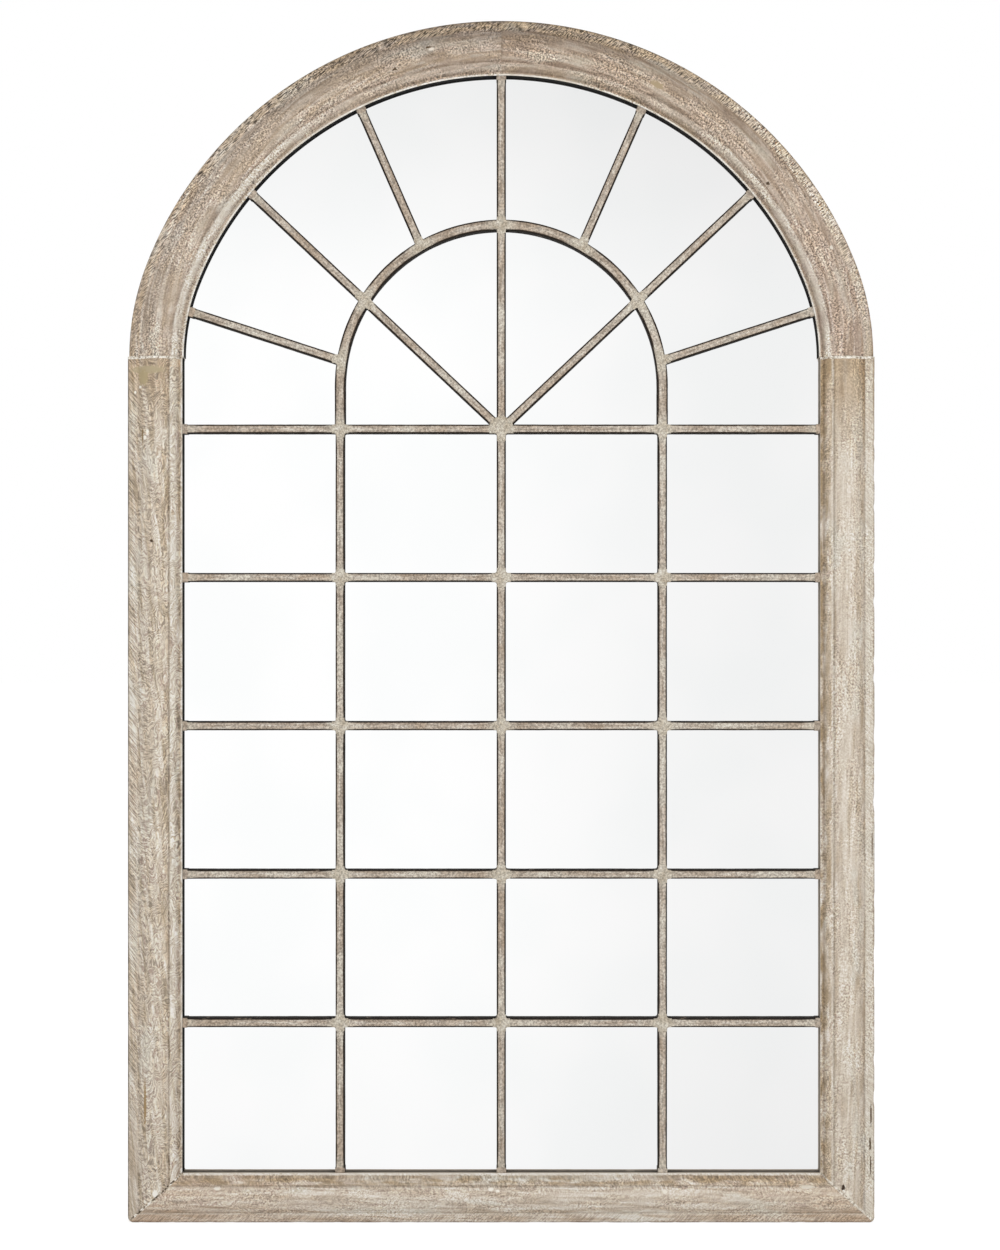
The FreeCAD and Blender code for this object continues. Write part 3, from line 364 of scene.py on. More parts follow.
def limewashed_bar():
    """Steel bar brushed with the frame's wash: chalky beige, rubbed brown, and a dark line of
    painted shade on its arrises.
    """
    material, tree = new_material("limewashed_bar")
    _, across, _ = add(tree, "SeparateXYZ", inputs={"Vector": add(tree, "grain")})
    streak = add(tree, "noise", grain_place(tree, 34, 3.2, 2.0), 1, 4, 0.6, 0.8)
    colour = add(tree, "ramp", streak, stops=[(0.36, "968879"), (0.5, "AEA192"), (0.64, "C5BCB0")])
    cloud = add(tree, "noise", add(tree, "place"), per(70), 4, 0.6)
    clouds = ((0.52, 0.64, 0.55, "A08D79"), (0.47, 0.36, 0.6, "C9C3B6"))
    for start, end, most, hex_colour in clouds:
        share = add(tree, "step", cloud, start, end, 0, most)
        colour = add(tree, "mix", share, colour, linear(hex_colour))
    weld = add(tree, "Attribute", settings={"attribute_name": "weld"})["Fac"]
    blotch = add(tree, "MULTIPLY", weld, add(tree, "step", cloud, 0.3, 0.5, 0.6, 1))
    colour = add(tree, "mix", add(tree, "MULTIPLY", blotch, 0.6), colour, linear("BEB6A7"))
    grit = add(tree, "noise", add(tree, "place"), per(2.6), 2, 0.7)
    colour = add(tree, "overlay", 0.36, colour, add(tree, "step", grit, LOW, HIGH, 0.05, 1.0))
    # A ragged dark line about 1 mm wide along each arris: painted shade that outlines the bar
    # against the mirror, fainter near the welds.
    off = add(tree, "MULTIPLY_ADD", streak, 1.6 * MM, add(tree, "ABSOLUTE", across))
    line = add(tree, "step", off, BAR_HALF - 1.5 * MM, BAR_HALF - 0.8 * MM)
    line = add(tree, "MULTIPLY", line, add(tree, "MULTIPLY_ADD", weld, -0.8, 1.0))
    colour = add(tree, "mix", line, colour, linear("3E3228"))
    height = add(tree, "ADD", add(tree, "MULTIPLY", streak, 0.7), grit)
    finish_material(tree, {"Base Color": colour, "Roughness": 0.8, "Specular IOR Level": 0.3},
                    height, 0.35 * MM, 0.7)
    return material


def dark_steel_and_shade():
    """Nearly black steel on the sides, arrises and backs of the bars: partly mill scale where the
    wash hardly reached, partly painted shade where the bars meet the mirror.
    """
    material, tree = new_material("dark_steel_and_shade")
    rub = add(tree, "noise", add(tree, "place"), per(14), 4, 0.65)
    share = add(tree, "step", rub, 0.6, 0.72)
    colour = add(tree, "mix", share, linear("211B16"), linear("6E6154"))
    finish_material(tree, {"Base Color": colour, "Roughness": 0.75, "Specular IOR Level": 0.15},
                    rub, 0.2 * MM, 0.5)
    return material


def weld_filler():
    """Ground weld smeared with filler and washed over: smooth pale grey with pits."""
    material, tree = new_material("weld_filler")
    cloud = add(tree, "noise", add(tree, "place"), per(9), 4, 0.6)
    colour = add(tree, "ramp", cloud, stops=[(0.34, "A69A88"), (0.5, "BAB1A1"), (0.68, "CAC3B6")])
    grit = add(tree, "noise", add(tree, "place"), per(2.4), 2, 0.7)
    colour = add(tree, "overlay", 0.36, colour, add(tree, "step", grit, LOW, HIGH, 0.05, 1.0))
    height = add(tree, "ADD", cloud, add(tree, "MULTIPLY", grit, 0.6))
    finish_material(tree, {"Base Color": colour, "Roughness": 0.75, "Specular IOR Level": 0.3},
                    height, 0.45 * MM, 0.8)
    return material


def joint_filler(name, grain, stops):
    """Filler pressed into the frame's joints: crumbly, from dark in its pits to nearly white."""
    material, tree = new_material(name)
    grit = add(tree, "noise", add(tree, "place"), per(grain), 2, 0.7)
    colour = add(tree, "ramp", grit, stops=stops)
    finish_material(tree, {"Base Color": colour, "Roughness": 0.8, "Specular IOR Level": 0.3},
                    grit, 0.5 * MM, 0.8)
    return material


def silvered_glass():
    """Float glass silvered on its back: a neutral mirror with the faintest cloudiness."""
    material, tree = new_material("silvered_glass")
    cloud = add(tree, "noise", add(tree, "place"), per(180), 2, 0.5)
    share = add(tree, "step", cloud, 0.35, 0.65)
    colour = add(tree, "mix", share, linear("FFFFFF"), linear("FCFDFD"))
    haze = add(tree, "step", cloud, 0.4, 0.7, 0.008, 0.015)
    finish_material(tree, {"Base Color": colour, "Metallic": 1.0, "Roughness": haze})
    return material


def hardboard():
    """Pressed brown hardboard: matted fibres and a waxy face."""
    material, tree = new_material("hardboard")
    fibre = add(tree, "noise", add(tree, "place"), per(2.4), 5, 0.7, 1.2)
    colour = add(tree, "ramp", fibre, stops=[(0.34, "5E4328"), (0.5, "7C5B39"), (0.66, "94714B")])
    cloud = add(tree, "noise", add(tree, "place"), per(160), 3)
    share = add(tree, "step", cloud, 0.4, 0.65, 0, 0.35)
    colour = add(tree, "mix", share, colour, linear("6A4C2E"))
    finish_material(tree, {"Base Color": colour, "Roughness": 0.62}, fibre, 0.15 * MM, 0.6)
    return material


def beech():
    """Beech dowel: pale pinkish wood with short dark flecks along it."""
    material, tree = new_material("beech")
    place = add(tree, "Mapping", inputs={
        "Vector": add(tree, "place"), "Scale": (per(1.2), per(1.2), per(9))})
    fleck = add(tree, "noise", place["Vector"], 1, 3, 0.6)
    colour = add(tree, "ramp", fleck, stops=[(0.35, "A67C52"), (0.5, "C69E70"), (0.66, "D6B58A")])
    finish_material(tree, {"Base Color": colour, "Roughness": 0.6}, fleck, 0.1 * MM, 0.4)
    return material


def zinc_plate(name, pale, dull):
    """Zinc-plated steel: bright plating with a soft bluish spangle and fine rub marks."""
    material, tree = new_material(name)
    spangle = add(tree, "noise", add(tree, "place"), per(5), 3, 0.6)
    share = add(tree, "step", spangle, 0.38, 0.64)
    colour = add(tree, "mix", share, linear(dull), linear(pale))
    rub = add(tree, "noise", add(tree, "place"), per(0.8), 2, 0.6)
    rough = add(tree, "step", rub, 0.3, 0.7, 0.28, 0.46)
    finish_material(tree, {"Base Color": colour, "Metallic": 1.0, "Roughness": rough},
                    rub, 0.05 * MM, 0.4)
    return material


def bumper_rubber():
    """Moulded black rubber pad: matt, a little dusty."""
    material, tree = new_material("bumper_rubber")
    dust = add(tree, "noise", add(tree, "place"), per(3), 3, 0.6)
    share = add(tree, "step", dust, 0.45, 0.7, 0, 0.5)
    colour = add(tree, "mix", share, linear("242424"), linear("4A4845"))
    finish_material(tree, {"Base Color": colour, "Roughness": 0.85}, dust, 0.1 * MM, 0.5)
    return material


# Shared modelling helpers.

def cad_copy(node):
    """A copy of a CAD node's mesh with its corners merged and its flat faces whole again."""
    bm = bmesh.new()
    bm.from_mesh(NODES[node].data)
    bmesh.ops.remove_doubles(bm, verts=bm.verts, dist=0.002 * MM)
    bmesh.ops.dissolve_limit(bm, angle_limit=math.radians(0.3), verts=bm.verts, edges=bm.edges)
    return bm


def section_loop(node, point, normal, keep=None):
    """The outline of a CAD node where a plane cuts it, as wire edges, or the part to keep."""
    bm = cad_copy(node)
    bmesh.ops.bisect_plane(bm, geom=[*bm.verts, *bm.edges, *bm.faces], dist=0.001 * MM,
                           plane_co=point, plane_no=normal, clear_inner=True, clear_outer=True)
    bmesh.ops.remove_doubles(bm, verts=bm.verts, dist=0.004 * MM)
    if keep:
        spare = [vertex for vertex in bm.verts if not keep(vertex.co)]
        bmesh.ops.delete(bm, geom=spare, context="VERTS")
    return bm


def refine(bm, step, wanted):
    """Divide the wanted edges until none is longer than the step."""
    for edge in [edge for edge in bm.edges if wanted(edge)]:
        cuts = math.ceil(edge.calc_length() / step) - 1
        if cuts > 0:
            bmesh.ops.subdivide_edges(bm, edges=[edge], cuts=cuts)


def sweep(bm, runs):
    """Sweep the wire loop through runs of turning or sliding, one after another."""
    rim = list(bm.edges)
    for run in runs:
        made = bmesh.ops.spin(bm, geom=rim, cent=run.get("centre", (0, 0, 0)),
                              axis=run.get("axis", (0, 1, 0)), dvec=run.get("slide", (0, 0, 0)),
                              angle=run.get("angle", 0), steps=run["steps"], use_duplicate=False)
        rim = [item for item in made["geom_last"] if isinstance(item, bmesh.types.BMEdge)]


def close_ends(bm):
    """Close the open ends of a swept moulding and turn its faces outwards."""
    rims = [edge for edge in bm.edges if edge.is_boundary]
    bmesh.ops.holes_fill(bm, edges=rims, sides=0)
    bmesh.ops.recalc_face_normals(bm, faces=bm.faces)


def trim(bm, point, normal):
    """Cut away what lies on the normal's side of a plane."""
    bmesh.ops.bisect_plane(bm, geom=[*bm.verts, *bm.edges, *bm.faces], dist=0.001 * MM,
                           plane_co=point, plane_no=normal, clear_outer=True)


def unroll_arch(place):
    """Distance along the arch from its joint, and in from its outer edge, on either side."""
    x = abs(place.x)
    turn = math.atan2(place.z - CROWN_CENTRE, x)
    if turn >= TURN:
        away = math.hypot(x, place.z - CROWN_CENTRE)
        along = HAUNCH_RADIUS * TURN + CROWN_RADIUS * (turn - TURN)
        return along, CROWN_RADIUS - away
    away = math.hypot(x - HAUNCH_INSET, place.z - JOINT)
    along = HAUNCH_RADIUS * math.atan2(place.z - JOINT, x - HAUNCH_INSET)
    return along, HAUNCH_RADIUS - away


def unroll_stile(place):
    """Height, and distance in from the outer edge."""
    return place.z, HALF_WIDTH - abs(place.x)


def unroll_rail(place):
    """Distance to the right of the middle, and up from the foot at the stiles' width."""
    return place.x, (place.z - FOOT) * FACE / RAIL_FACE


def write_grain(bm, unroll, edge=None):
    """Store how far along and across the piece each corner lies, in metres.

    Given the height of a moulding's outer edge, its outer wall goes on below zero.
    """
    layer = bm.loops.layers.uv.new("grain")
    for face in bm.faces:
        wall = edge is not None and abs(face.normal.y) < 0.5
        wall = wall and unroll(face.calc_center_median())[1] < 4 * MM
        for loop in face.loops:
            along, across = unroll(loop.vert.co)
            if wall:
                across -= max(0.0, loop.vert.co.y - edge - 1.5 * MM)
            loop[layer].uv = along, across


def make_piece(name, bm, materials, stands_for=()):
    """Turn a finished mesh into a piece of the frame's body."""
    mesh = bpy.data.meshes.new(name)
    bm.to_mesh(mesh)
    bm.free()
    for material in materials:
        mesh.materials.append(material)
    piece = bpy.data.objects.new(name, mesh)
    bpy.context.scene.collection.objects.link(piece)
    mesh.shade_smooth()
    mesh.set_sharp_from_angle(angle=SOFT_ANGLE)
    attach(piece, "frame")
    if stands_for:
        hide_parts(*stands_for)
    return piece


def dent(place, size, seed):
    """A smooth random level from -1 to 1 that changes over a size in metres."""
    return noise.noise(place / size + Vector((seed, 1.7 * seed, 0.6 * seed)))


def apply_moves(moves):
    """Move the corners of a mesh, all after the last one is worked out."""
    for vertex, move in moves:
        vertex.co += move


# The frame.

# The recess wall's paint and its painted shade reach this far round the sight edge.
PAINT_EDGE = 0.4 * MM
# The outer wall and its rounded edge lie within this distance.
OUTER_WALL = 1.5 * MM
# The lower corners are sanded to this radius.
CORNER = 7 * MM
# Where the moulding's hollows start and end, and how often each is smoothed.
HOLLOWS = ((9.5 * MM, 16.5 * MM, 4), (45 * MM, 52.5 * MM, 3))
# The edge of the outer band wears within this width, and the bead on either side of its ridge.
EDGE_WIDTH = 3 * MM
BEAD_RIDGE = 49 * MM
BEAD_WIDTH = 4 * MM


def fill_hollows(bm, unroll):
    """Wash lies in the hollows of the moulding and softens them."""
    for low, high, times in HOLLOWS:
        verts = [vertex for vertex in bm.verts
                 if low < unroll(vertex.co)[1] < high and vertex.co.y < FRONT_PART]
        for _ in range(times):
            bmesh.ops.smooth_vert(bm, verts=verts, factor=0.5, use_axis_x=True,
                                  use_axis_y=True, use_axis_z=True)


def wear_moulding(bm, unroll, seed):
    """Waves, knocks and worn edges. Everything moves inwards, so the outline stays in its box."""
    bm.normal_update()
    moves = []
    for vertex in bm.verts:
        place = vertex.co
        along, across = unroll(place)
        if place.y > WORN_FROM or vertex.normal.y > 0.2:
            continue
        level = 0.16 * MM * (1 + dent(place, 60 * MM, seed))
        level += 0.12 * MM * (1 + dent(place, 8 * MM, seed + 4))
        knock = dent(Vector((along / 1.8, across * 2, 0)), 9 * MM, seed + 8)
        near_edge = max(0.0, 1 - across / EDGE_WIDTH)
        near_bead = max(0.0, 1 - abs(across - BEAD_RIDGE) / BEAD_WIDTH)
        level += max(0.0, knock - 0.2) * MM * (2.8 * near_edge + 1.3 * near_bead + 0.35)
        if across > FACE - 2 * PAINT_EDGE:
            level *= 0.4
        moves.append((vertex, vertex.normal * -level))
    apply_moves(moves)


def round_foot(bm):
    """The two lower corners of the frame are sanded round."""
    for vertex in bm.verts:
        side = math.copysign(1, vertex.co.x)
        off = Vector((abs(vertex.co.x) - HALF_WIDTH + CORNER, 0, FOOT + CORNER - vertex.co.z))
        if off.x > 0 and off.z > 0 and off.length > CORNER:
            off = off.normalized() * CORNER
            vertex.co.x = side * (HALF_WIDTH - CORNER + off.x)
            vertex.co.z = FOOT + CORNER - off.z


def paint_parts(bm, unroll):
    """Material places: 0 wash, 1 the recess wall's paint with painted shade, 2 bare wood on the
    back and rebates.
    """
    for face in bm.faces:
        middle = face.calc_center_median()
        across = unroll(middle)[1]
        in_rebate = middle.y > REBATE and across >= OUTER_WALL
        if in_rebate or middle.y > BACK:
            face.material_index = 2
        elif across > FACE - PAINT_EDGE and face.normal.y > -0.5:
            face.material_index = 1


# A sweep starts this far outside the mitre that trims it.
SPARE = 2 * MM
# The stile's section is taken this far above its middle.
CLEAR_OF_SCREWS = 20 * MM


def front_edge(edge):
    return all(vertex.co.y < FRONT_PART for vertex in edge.verts)


def mitre_normal(side):
    """Across the mitre of a lower corner, up and outwards."""
    return Vector((side * RAIL_FACE, 0, FACE))


# How the wash lies on each moulding. Stops run from the outer edge (0) to the sight edge (1):
# "members" is painted shade and highlight across the profile, dark at the outer edge, in the
# quirk and at the bead's foot and lighter on the main face, and "foot_members" is how much of it
# shows at the foot of the arch; "chalk" is thick wash and painted highlight on the raised members;
# "brown" is bare wood; "arris" is a painted highlight along the sight edge. "along" runs from one
# end of the piece to the other. Marks are along, across, their halves in millimetres, and a
# colour.
PLAIN_MEMBERS = [(0.0, 0.42), (0.014, 0.55), (0.032, 0.98), (0.18, 0.98), (0.2, 0.86),
                 (0.225, 1.0), (0.5, 1.0), (0.58, 1.08), (0.74, 1.08), (0.765, 0.9), (0.79, 1.05),
                 (1.0, 1.04)]
ARCH_MEMBERS = [(0.0, 0.42), (0.04, 0.54), (0.17, 0.6), (0.24, 0.82), (0.34, 0.88), (0.6, 1.17),
                (0.755, 1.06), (0.79, 1.16), (1.0, 1.12)]
STRAIGHT = {"bead_start": 1.0, "bead_end": 1.0, "foot_members": 1.0, "saw_start": 1.0}
STILE = {**STRAIGHT, "start": FOOT, "length": JOINT - FOOT}
ARCH = {"bead_start": 1.0, "bead_end": 0.15, "start": 0.0, "length": 0.62,
        "members": ARCH_MEMBERS, "arris": 1.0, "lean": 0.9, "saw_turn": math.radians(-50)}
WOOD = {
    "left_stile": {
        **STILE, "seed": 3.1, "tones": ("A89984", "C1B4A4", "D3C9BC"),
        "slant": math.radians(7), "cloud": 0.5, "members": PLAIN_MEMBERS, "bead_start": 0.15,
        "saw_start": 0.25, "arris": 0.8,
        "along": [(0.0, 0.97), (0.2, 1.0), (0.9, 1.0), (0.955, "F0EBE4"), (0.985, "ECE3D8")],
        "chalk": [(0.0, 0.0), (0.04, 0.0), (0.5, 0.05), (0.54, 0.3), (0.58, 0.05), (0.76, 0.0),
                  (0.79, 0.62), (0.86, 0.5), (0.9, 0.1), (0.965, 0.0), (0.98, 1.0)],
        "brown": [(0.6, 0.1), (0.72, 0.55), (0.76, 0.2), (0.8, 0.0), (0.9, 0.1), (0.96, 0.5)],
        "lean": 1.1, "fold": 22 * MM, "strokes": 0.4, "stipple": 0.18, "saw": 1.2,
        "saw_depth": 0.45, "edge": 2.0,
        "marks": (
            (-39, 24, 3, 1.8, "EFEADF"), (-46, 21, 2.4, 2.2, "EFEADF"),
            (-42, 18, 9, 1.2, "8A7658"), (13, 15, 1.6, 1.6, "F0EBE0"),
            (7, 9, 1.8, 1.2, "F0EBE0"), (-166, 29, 1.8, 1.8, "4E3F31"),
            (33, 24, 5, 20, "B0A184"), (24, 19, 10, 6, "AD9D7B"),
            (-924, 33, 4.5, 3.4, "EEEAE2"), (-820, 21, 26, 1.6, "9B835F"))},
    "right_stile": {
        **STILE, "seed": 6.2, "tones": ("B6A692", "CCBFAF", "DAD0C3"),
        "slant": math.radians(2), "cloud": 0.55, "arris": 0.3,
        "along": [(0.0, 0.97), (0.2, 1.0), (0.88, 1.0), (0.95, "E6DCCF"), (0.985, "D9CAB5")],
        "members": [(0.0, 0.6), (0.016, 0.68), (0.035, 1.0), (0.16, 1.0), (0.185, 0.62),
                    (0.21, 0.9), (0.3, 0.95), (0.4, 1.0), (0.735, 0.98), (0.76, 0.88),
                    (0.79, 1.0), (1.0, 1.0)],
        "chalk": [(0.0, 0.0), (0.02, 0.2), (0.045, 0.95), (0.17, 0.85), (0.19, 0.0), (0.5, 0.1),
                  (0.56, 0.3), (0.7, 0.1), (0.755, 0.0), (0.775, 1.0), (0.8, 0.7), (0.82, 0.0),
                  (0.98, 0.0)],
        "brown": [(0.2, 0.3), (0.34, 0.25), (0.4, 0.0), (0.81, 0.1), (0.84, 0.6), (0.94, 0.8),
                  (0.985, 1.0)],
        "lean": -0.9, "fold": 40 * MM, "strokes": 0.1, "stipple": 0.34, "saw": -0.9,
        "saw_depth": 0.18, "edge": 1.6,
        "marks": (
            (-835, 4.5, 14, 1.0, "5E4C39"), (-868, 5.5, 8, 1.2, "54442F"),
            (-893, 5, 12, 1.0, "5E4C39"), (-917, 38, 3, 2.2, "3E3025"),
            (-925, 33, 5, 1.8, "E6DFD2"), (-520, 3, 20, 0.9, "7A6A58"))},
    "bottom_rail": {
        **STRAIGHT, "start": -HALF_WIDTH, "length": 2 * HALF_WIDTH, "seed": 9.3,
        "tones": ("AF9E8B", "C6B9AA", "D4CBBF"), "slant": math.radians(2), "cloud": 0.7,
        "members": PLAIN_MEMBERS, "arris": 0.7,
        "along": [(0.0, "F2E8E0"), (0.3, 1.0), (0.7, 1.0), (1.0, "F4EBE2")],
        "chalk": [(0.0, 0.0), (0.16, 0.0), (0.19, 0.5), (0.22, 0.1), (0.5, 0.2), (0.75, 0.1),
                  (0.93, 0.0), (0.97, 0.8)],
        "brown": [(0.75, 0.0), (0.8, 0.6), (0.85, 0.85), (0.92, 0.85), (0.95, 0.2), (0.97, 0.0)],
        "lean": -0.9, "fold": 48 * MM, "strokes": 0.2, "stipple": 0.28, "saw": -0.9,
        "saw_depth": 0.24, "edge": 1.6,
        "marks": (
            (-12, 45, 3, 2.4, "EFE9DE"), (-4, 43, 2.2, 1.8, "F1EBE0"),
            (-330, 46, 4, 2.2, "E7E0D4"), (190, 42, 3, 2.4, "E7E0D4"),
            (355, 48, 9, 2.2, "E4DDD0"))},
    "arch_left": {
        **ARCH, "seed": 12.4, "tones": ("A29383", "BEAFA0", "CEC4B8"),
        "slant": math.radians(4), "cloud": 0.6, "foot_members": 0.3, "saw_start": 0.4,
        "along": [(0.0, "F7F5F3"), (0.3, "F8F6F5"), (0.7, "E9E5E1"), (1.0, "DAD5D2")],
        "chalk": [(0.0, 0.0), (0.04, 0.0), (0.5, 0.05), (0.76, 0.0), (0.8, 0.9), (0.88, 0.9),
                  (0.93, 0.1), (0.98, 0.8)],
        "brown": [(0.0, 0.55), (0.16, 0.4), (0.22, 0.1), (0.7, 0.4), (0.78, 0.0), (0.96, 0.3)],
        "fold": 16 * MM, "strokes": 0.14, "stipple": 0.58, "saw_depth": 0.85, "edge": 2.2,
        "marks": (
            (505, 39, 3.2, 1.6, "574636"), (553, 24, 4, 1.4, "5E4C3A"),
            (556, 27, 3.4, 1.8, "E2D8CA"), (60, 30, 3, 2, "D9CDBE"))},
    "arch_right": {
        **ARCH, "seed": 15.5, "tones": ("A18F80", "BDAC9E", "D0C4B9"),
        "slant": math.radians(3), "cloud": 0.55, "foot_members": 0.15, "saw_start": 0.1,
        "along": [(0.0, "F1ECE8"), (0.3, "EFEBE6"), (0.7, "E4E1DA"), (1.0, "D9D4CD")],
        "chalk": [(0.0, 0.0), (0.02, 0.1), (0.045, 0.6), (0.18, 0.5), (0.2, 0.0), (0.76, 0.0),
                  (0.8, 0.8), (0.88, 0.8), (0.93, 0.1)],
        "brown": [(0.0, 0.6), (0.16, 0.5), (0.24, 0.15), (0.6, 0.2), (0.78, 0.0), (0.9, 0.4)],
        "fold": 36 * MM, "strokes": 0.12, "stipple": 0.64, "saw_depth": 0.8, "edge": 3.0,
        "marks": (
            (440, 34, 9, 4, "A9977A"), (250, 44, 3, 2, "4F4031"), (140, 20, 3, 2, "DDD4C6"))},
}
# For each recess wall: its dark colour, the colour of its front part, and where that ends.
# Both colours are partly paint and partly painted shade: the left stile's and the arch's walls are
# nearly black, the right stile's and the rail's pale in front.
RECESS_PAINT_AND_SHADE = {
    "left_stile": ("0E0B09", "1C1612", -21),
    "right_stile": ("6F665B", "C9BEB0", -13),
    "bottom_rail": ("1C1714", "B9AD9D", -11.5),
    "arch_left": ("0C0908", "17110E", -21),
    "arch_right": ("120E0B", "261F19", -21),
}


def moulding_materials(name):
    """The wash, the recess wall's paint with its painted shade, and the bare back of one moulding.
    """
    back = bpy.data.materials.get("raw_fir") or raw_fir()
    return [limewashed_wood(f"limewashed_{name}", WOOD[name]),
            recess_paint_and_shade(f"recess_{name}", WOOD[name]["seed"], *RECESS_PAINT_AND_SHADE[name]), back]


def finish_moulding(name, bm, unroll, seed):
    """What every swept moulding goes through before it is a piece."""
    wear_moulding(bm, unroll, seed)
    round_foot(bm)
    close_ends(bm)
    edge = min(vertex.co.y for vertex in bm.verts if 1 * MM < unroll(vertex.co)[1] < 8 * MM)
    write_grain(bm, unroll, edge)
    paint_parts(bm, unroll)
    make_piece(f"{name}_wood", bm, moulding_materials(name), [name])


def make_stile(name, side, step):
    """A stile: its section swept up from below the foot, with the mitre cut off."""
    node = f"{name}_stile"
    start = FOOT - SPARE
    bm = section_loop(node, (0, 0, (FOOT + JOINT) / 2 + CLEAR_OF_SCREWS), UP)
    bmesh.ops.translate(bm, verts=bm.verts, vec=(0, 0, start - bm.verts[:][0].co.z))
    refine(bm, 1.3 * MM, front_edge)
    fill_hollows(bm, unroll_stile)
    count = round((JOINT - start) / step)
    sweep(bm, [{"slide": (0, 0, (JOINT - start) / count), "steps": count}])
    trim(bm, (side * HALF_WIDTH, 0, FOOT), -mitre_normal(side))
    finish_moulding(node, bm, unroll_stile, 3 + side)


def make_rail(step):
    """The bottom rail: its section swept to the right, with both mitres cut off."""
    start = -HALF_WIDTH - SPARE
    bm = section_loop("bottom_rail", RIGHT * 30 * MM, RIGHT)
    bmesh.ops.translate(bm, verts=bm.verts, vec=(start - bm.verts[:][0].co.x, 0, 0))
    refine(bm, 1.2 * MM, front_edge)
    fill_hollows(bm, unroll_rail)
    count = round(-2 * start / step)
    sweep(bm, [{"slide": (-2 * start / count, 0, 0), "steps": count}])
    for _, side in SIDES:
        trim(bm, (side * HALF_WIDTH, 0, FOOT), mitre_normal(side))
    finish_moulding("bottom_rail", bm, unroll_rail, 9)


def make_arch(name, side, step):
    """Half of the arch: its section swept round the haunch and then round the crown."""
    node = f"arch_{name}"
    middle = (TURN + math.pi / 2) / 2
    ray = Vector((side * math.cos(middle), 0, math.sin(middle)))
    normal = Vector((-side * ray.z, 0, abs(ray.x)))
    centre = Vector((0, 0, CROWN_CENTRE))
    bm = section_loop(node, centre, normal)
    # Back to the joint: first round the crown's centre, then round the haunch's.
    back = side * (middle - TURN)
    bmesh.ops.rotate(bm, verts=bm.verts, cent=centre, matrix=turn_matrix(back))
    haunch = Vector((side * HAUNCH_INSET, 0, JOINT))
    bmesh.ops.rotate(bm, verts=bm.verts, cent=haunch, matrix=turn_matrix(side * TURN))
    refine(bm, 1.3 * MM, front_edge)
    fill_hollows(bm, unroll_arch)
    crown_turn = math.pi / 2 - TURN
    sweep(bm, [
        {"centre": haunch, "angle": -side * TURN, "steps": round(HAUNCH_RADIUS * TURN / step)},
        {"centre": centre, "angle": -side * crown_turn,
         "steps": round(CROWN_RADIUS * crown_turn / step)},
    ])
    finish_moulding(node, bm, unroll_arch, 14 + side)


def turn_matrix(angle):
    """A turn about the axis that points to the back. It takes the right side down."""
    return Matrix.Rotation(angle, 3, "Y")


# The grille.

def bar_unroll(start, direction):
    """Along and across a straight bar, from a point on its middle line."""
    side = Vector((-direction.z, 0, direction.x))
    return lambda place: ((place - start).dot(direction), (place - start).dot(side))


def hoop_unroll(place):
    """Along and across the hoop, on its legs and its bend, as wide as the straight bars."""
    x = abs(place.x)
    if place.z < HOOP_CENTRE:
        return place.z - HOOP_CENTRE, (x - BAY) * BAR_HALF / HOOP_HALF
    turn = math.atan2(place.z - HOOP_CENTRE, x)
    across = math.hypot(x, place.z - HOOP_CENTRE) - BAY
    return BAY * turn, across * BAR_HALF / HOOP_HALF


# The weld's filler is smeared along the bars as far as this, and fades over the last part.
WELD_REACH = 21 * MM
WELD_FADE = 10 * MM


def roughen_bar(bm, crossings, unroll, seed):
    """Slight waves in a hand-laid bar, and how near each point is to a weld."""
    bm.normal_update()
    layer = bm.verts.layers.float.new("weld")
    moves = []
    for vertex in bm.verts:
        place = vertex.co
        flat = Vector((place.x, 0, place.z))
        near = min((flat - crossing).length for crossing in crossings)
        vertex[layer] = max(0.0, min(1.0, (WELD_REACH - near) / WELD_FADE))
        if place.y > BAR_BACK - 1 * MM:
            continue
        wave = 0.14 * MM * (1 + dent(place, 34 * MM, seed))
        wave += 0.12 * MM * (1 + dent(place, 6 * MM, seed))
        moves.append((vertex, vertex.normal * -wave))
    apply_moves(moves)
    write_grain(bm, unroll)
    # Front faces take the wash; sides, arrises and backs take the dark steel, which is partly
    # painted shade.
    for face in bm.faces:
        face.material_index = 0 if face.normal.y < -0.9 else 1


def cut_across(bm, planes):
    """Cut a bar into short lengths, so that it can be waved."""
    for point, normal in planes:
        bmesh.ops.bisect_plane(bm, geom=[*bm.verts, *bm.edges, *bm.faces], dist=0.01 * MM,
                               plane_co=point, plane_no=normal)


def ray_way(angle, side):
    """The direction of a ray or a diagonal."""
    return Vector((side * math.cos(angle), 0, math.sin(angle)))


def straight_bar(node, start, direction, length, crossings, materials, step, seed):
    """A straight bar: a copy of the CAD one, cut along its length, roughened and painted."""
    bm = cad_copy(node)
    count = max(1, round(length / step))
    cut_across(bm, [(start + direction * length * place / count, direction)
                    for place in range(1, count)])
    roughen_bar(bm, crossings, bar_unroll(start, direction), seed)
    make_piece(f"{node}_bar", bm, materials, [node])


def row_name(row):
    """The node of a crossbar, from the springing bar (0) to the lowest (4)."""
    return f"crossbar_{row}" if row else "springing_bar"


def row_height(row):
    low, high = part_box(row_name(row))
    return (low.z + high.z) / 2


def hub_point(angle, side, lift=0.0):
    """Where a line from the middle of the springing bar meets the middle of the hoop."""
    start = Vector((0, 0, SPRINGING + lift))
    direction = ray_way(angle, side)
    along = (HOOP_MIDDLE - start).dot(direction)
    off = (HOOP_MIDDLE - start - direction * along).length
    return start + direction * (along + math.sqrt(BAY ** 2 - off ** 2))


def arch_point(angle, side, lift=0.0):
    """Where that line meets the frame's sight edge."""
    start = Vector((0, 0, SPRINGING + lift))
    direction = ray_way(angle, side)
    reach = BAY
    while unroll_arch(start + direction * reach)[1] > FACE:
        reach += 0.5 * MM
    return start + direction * reach


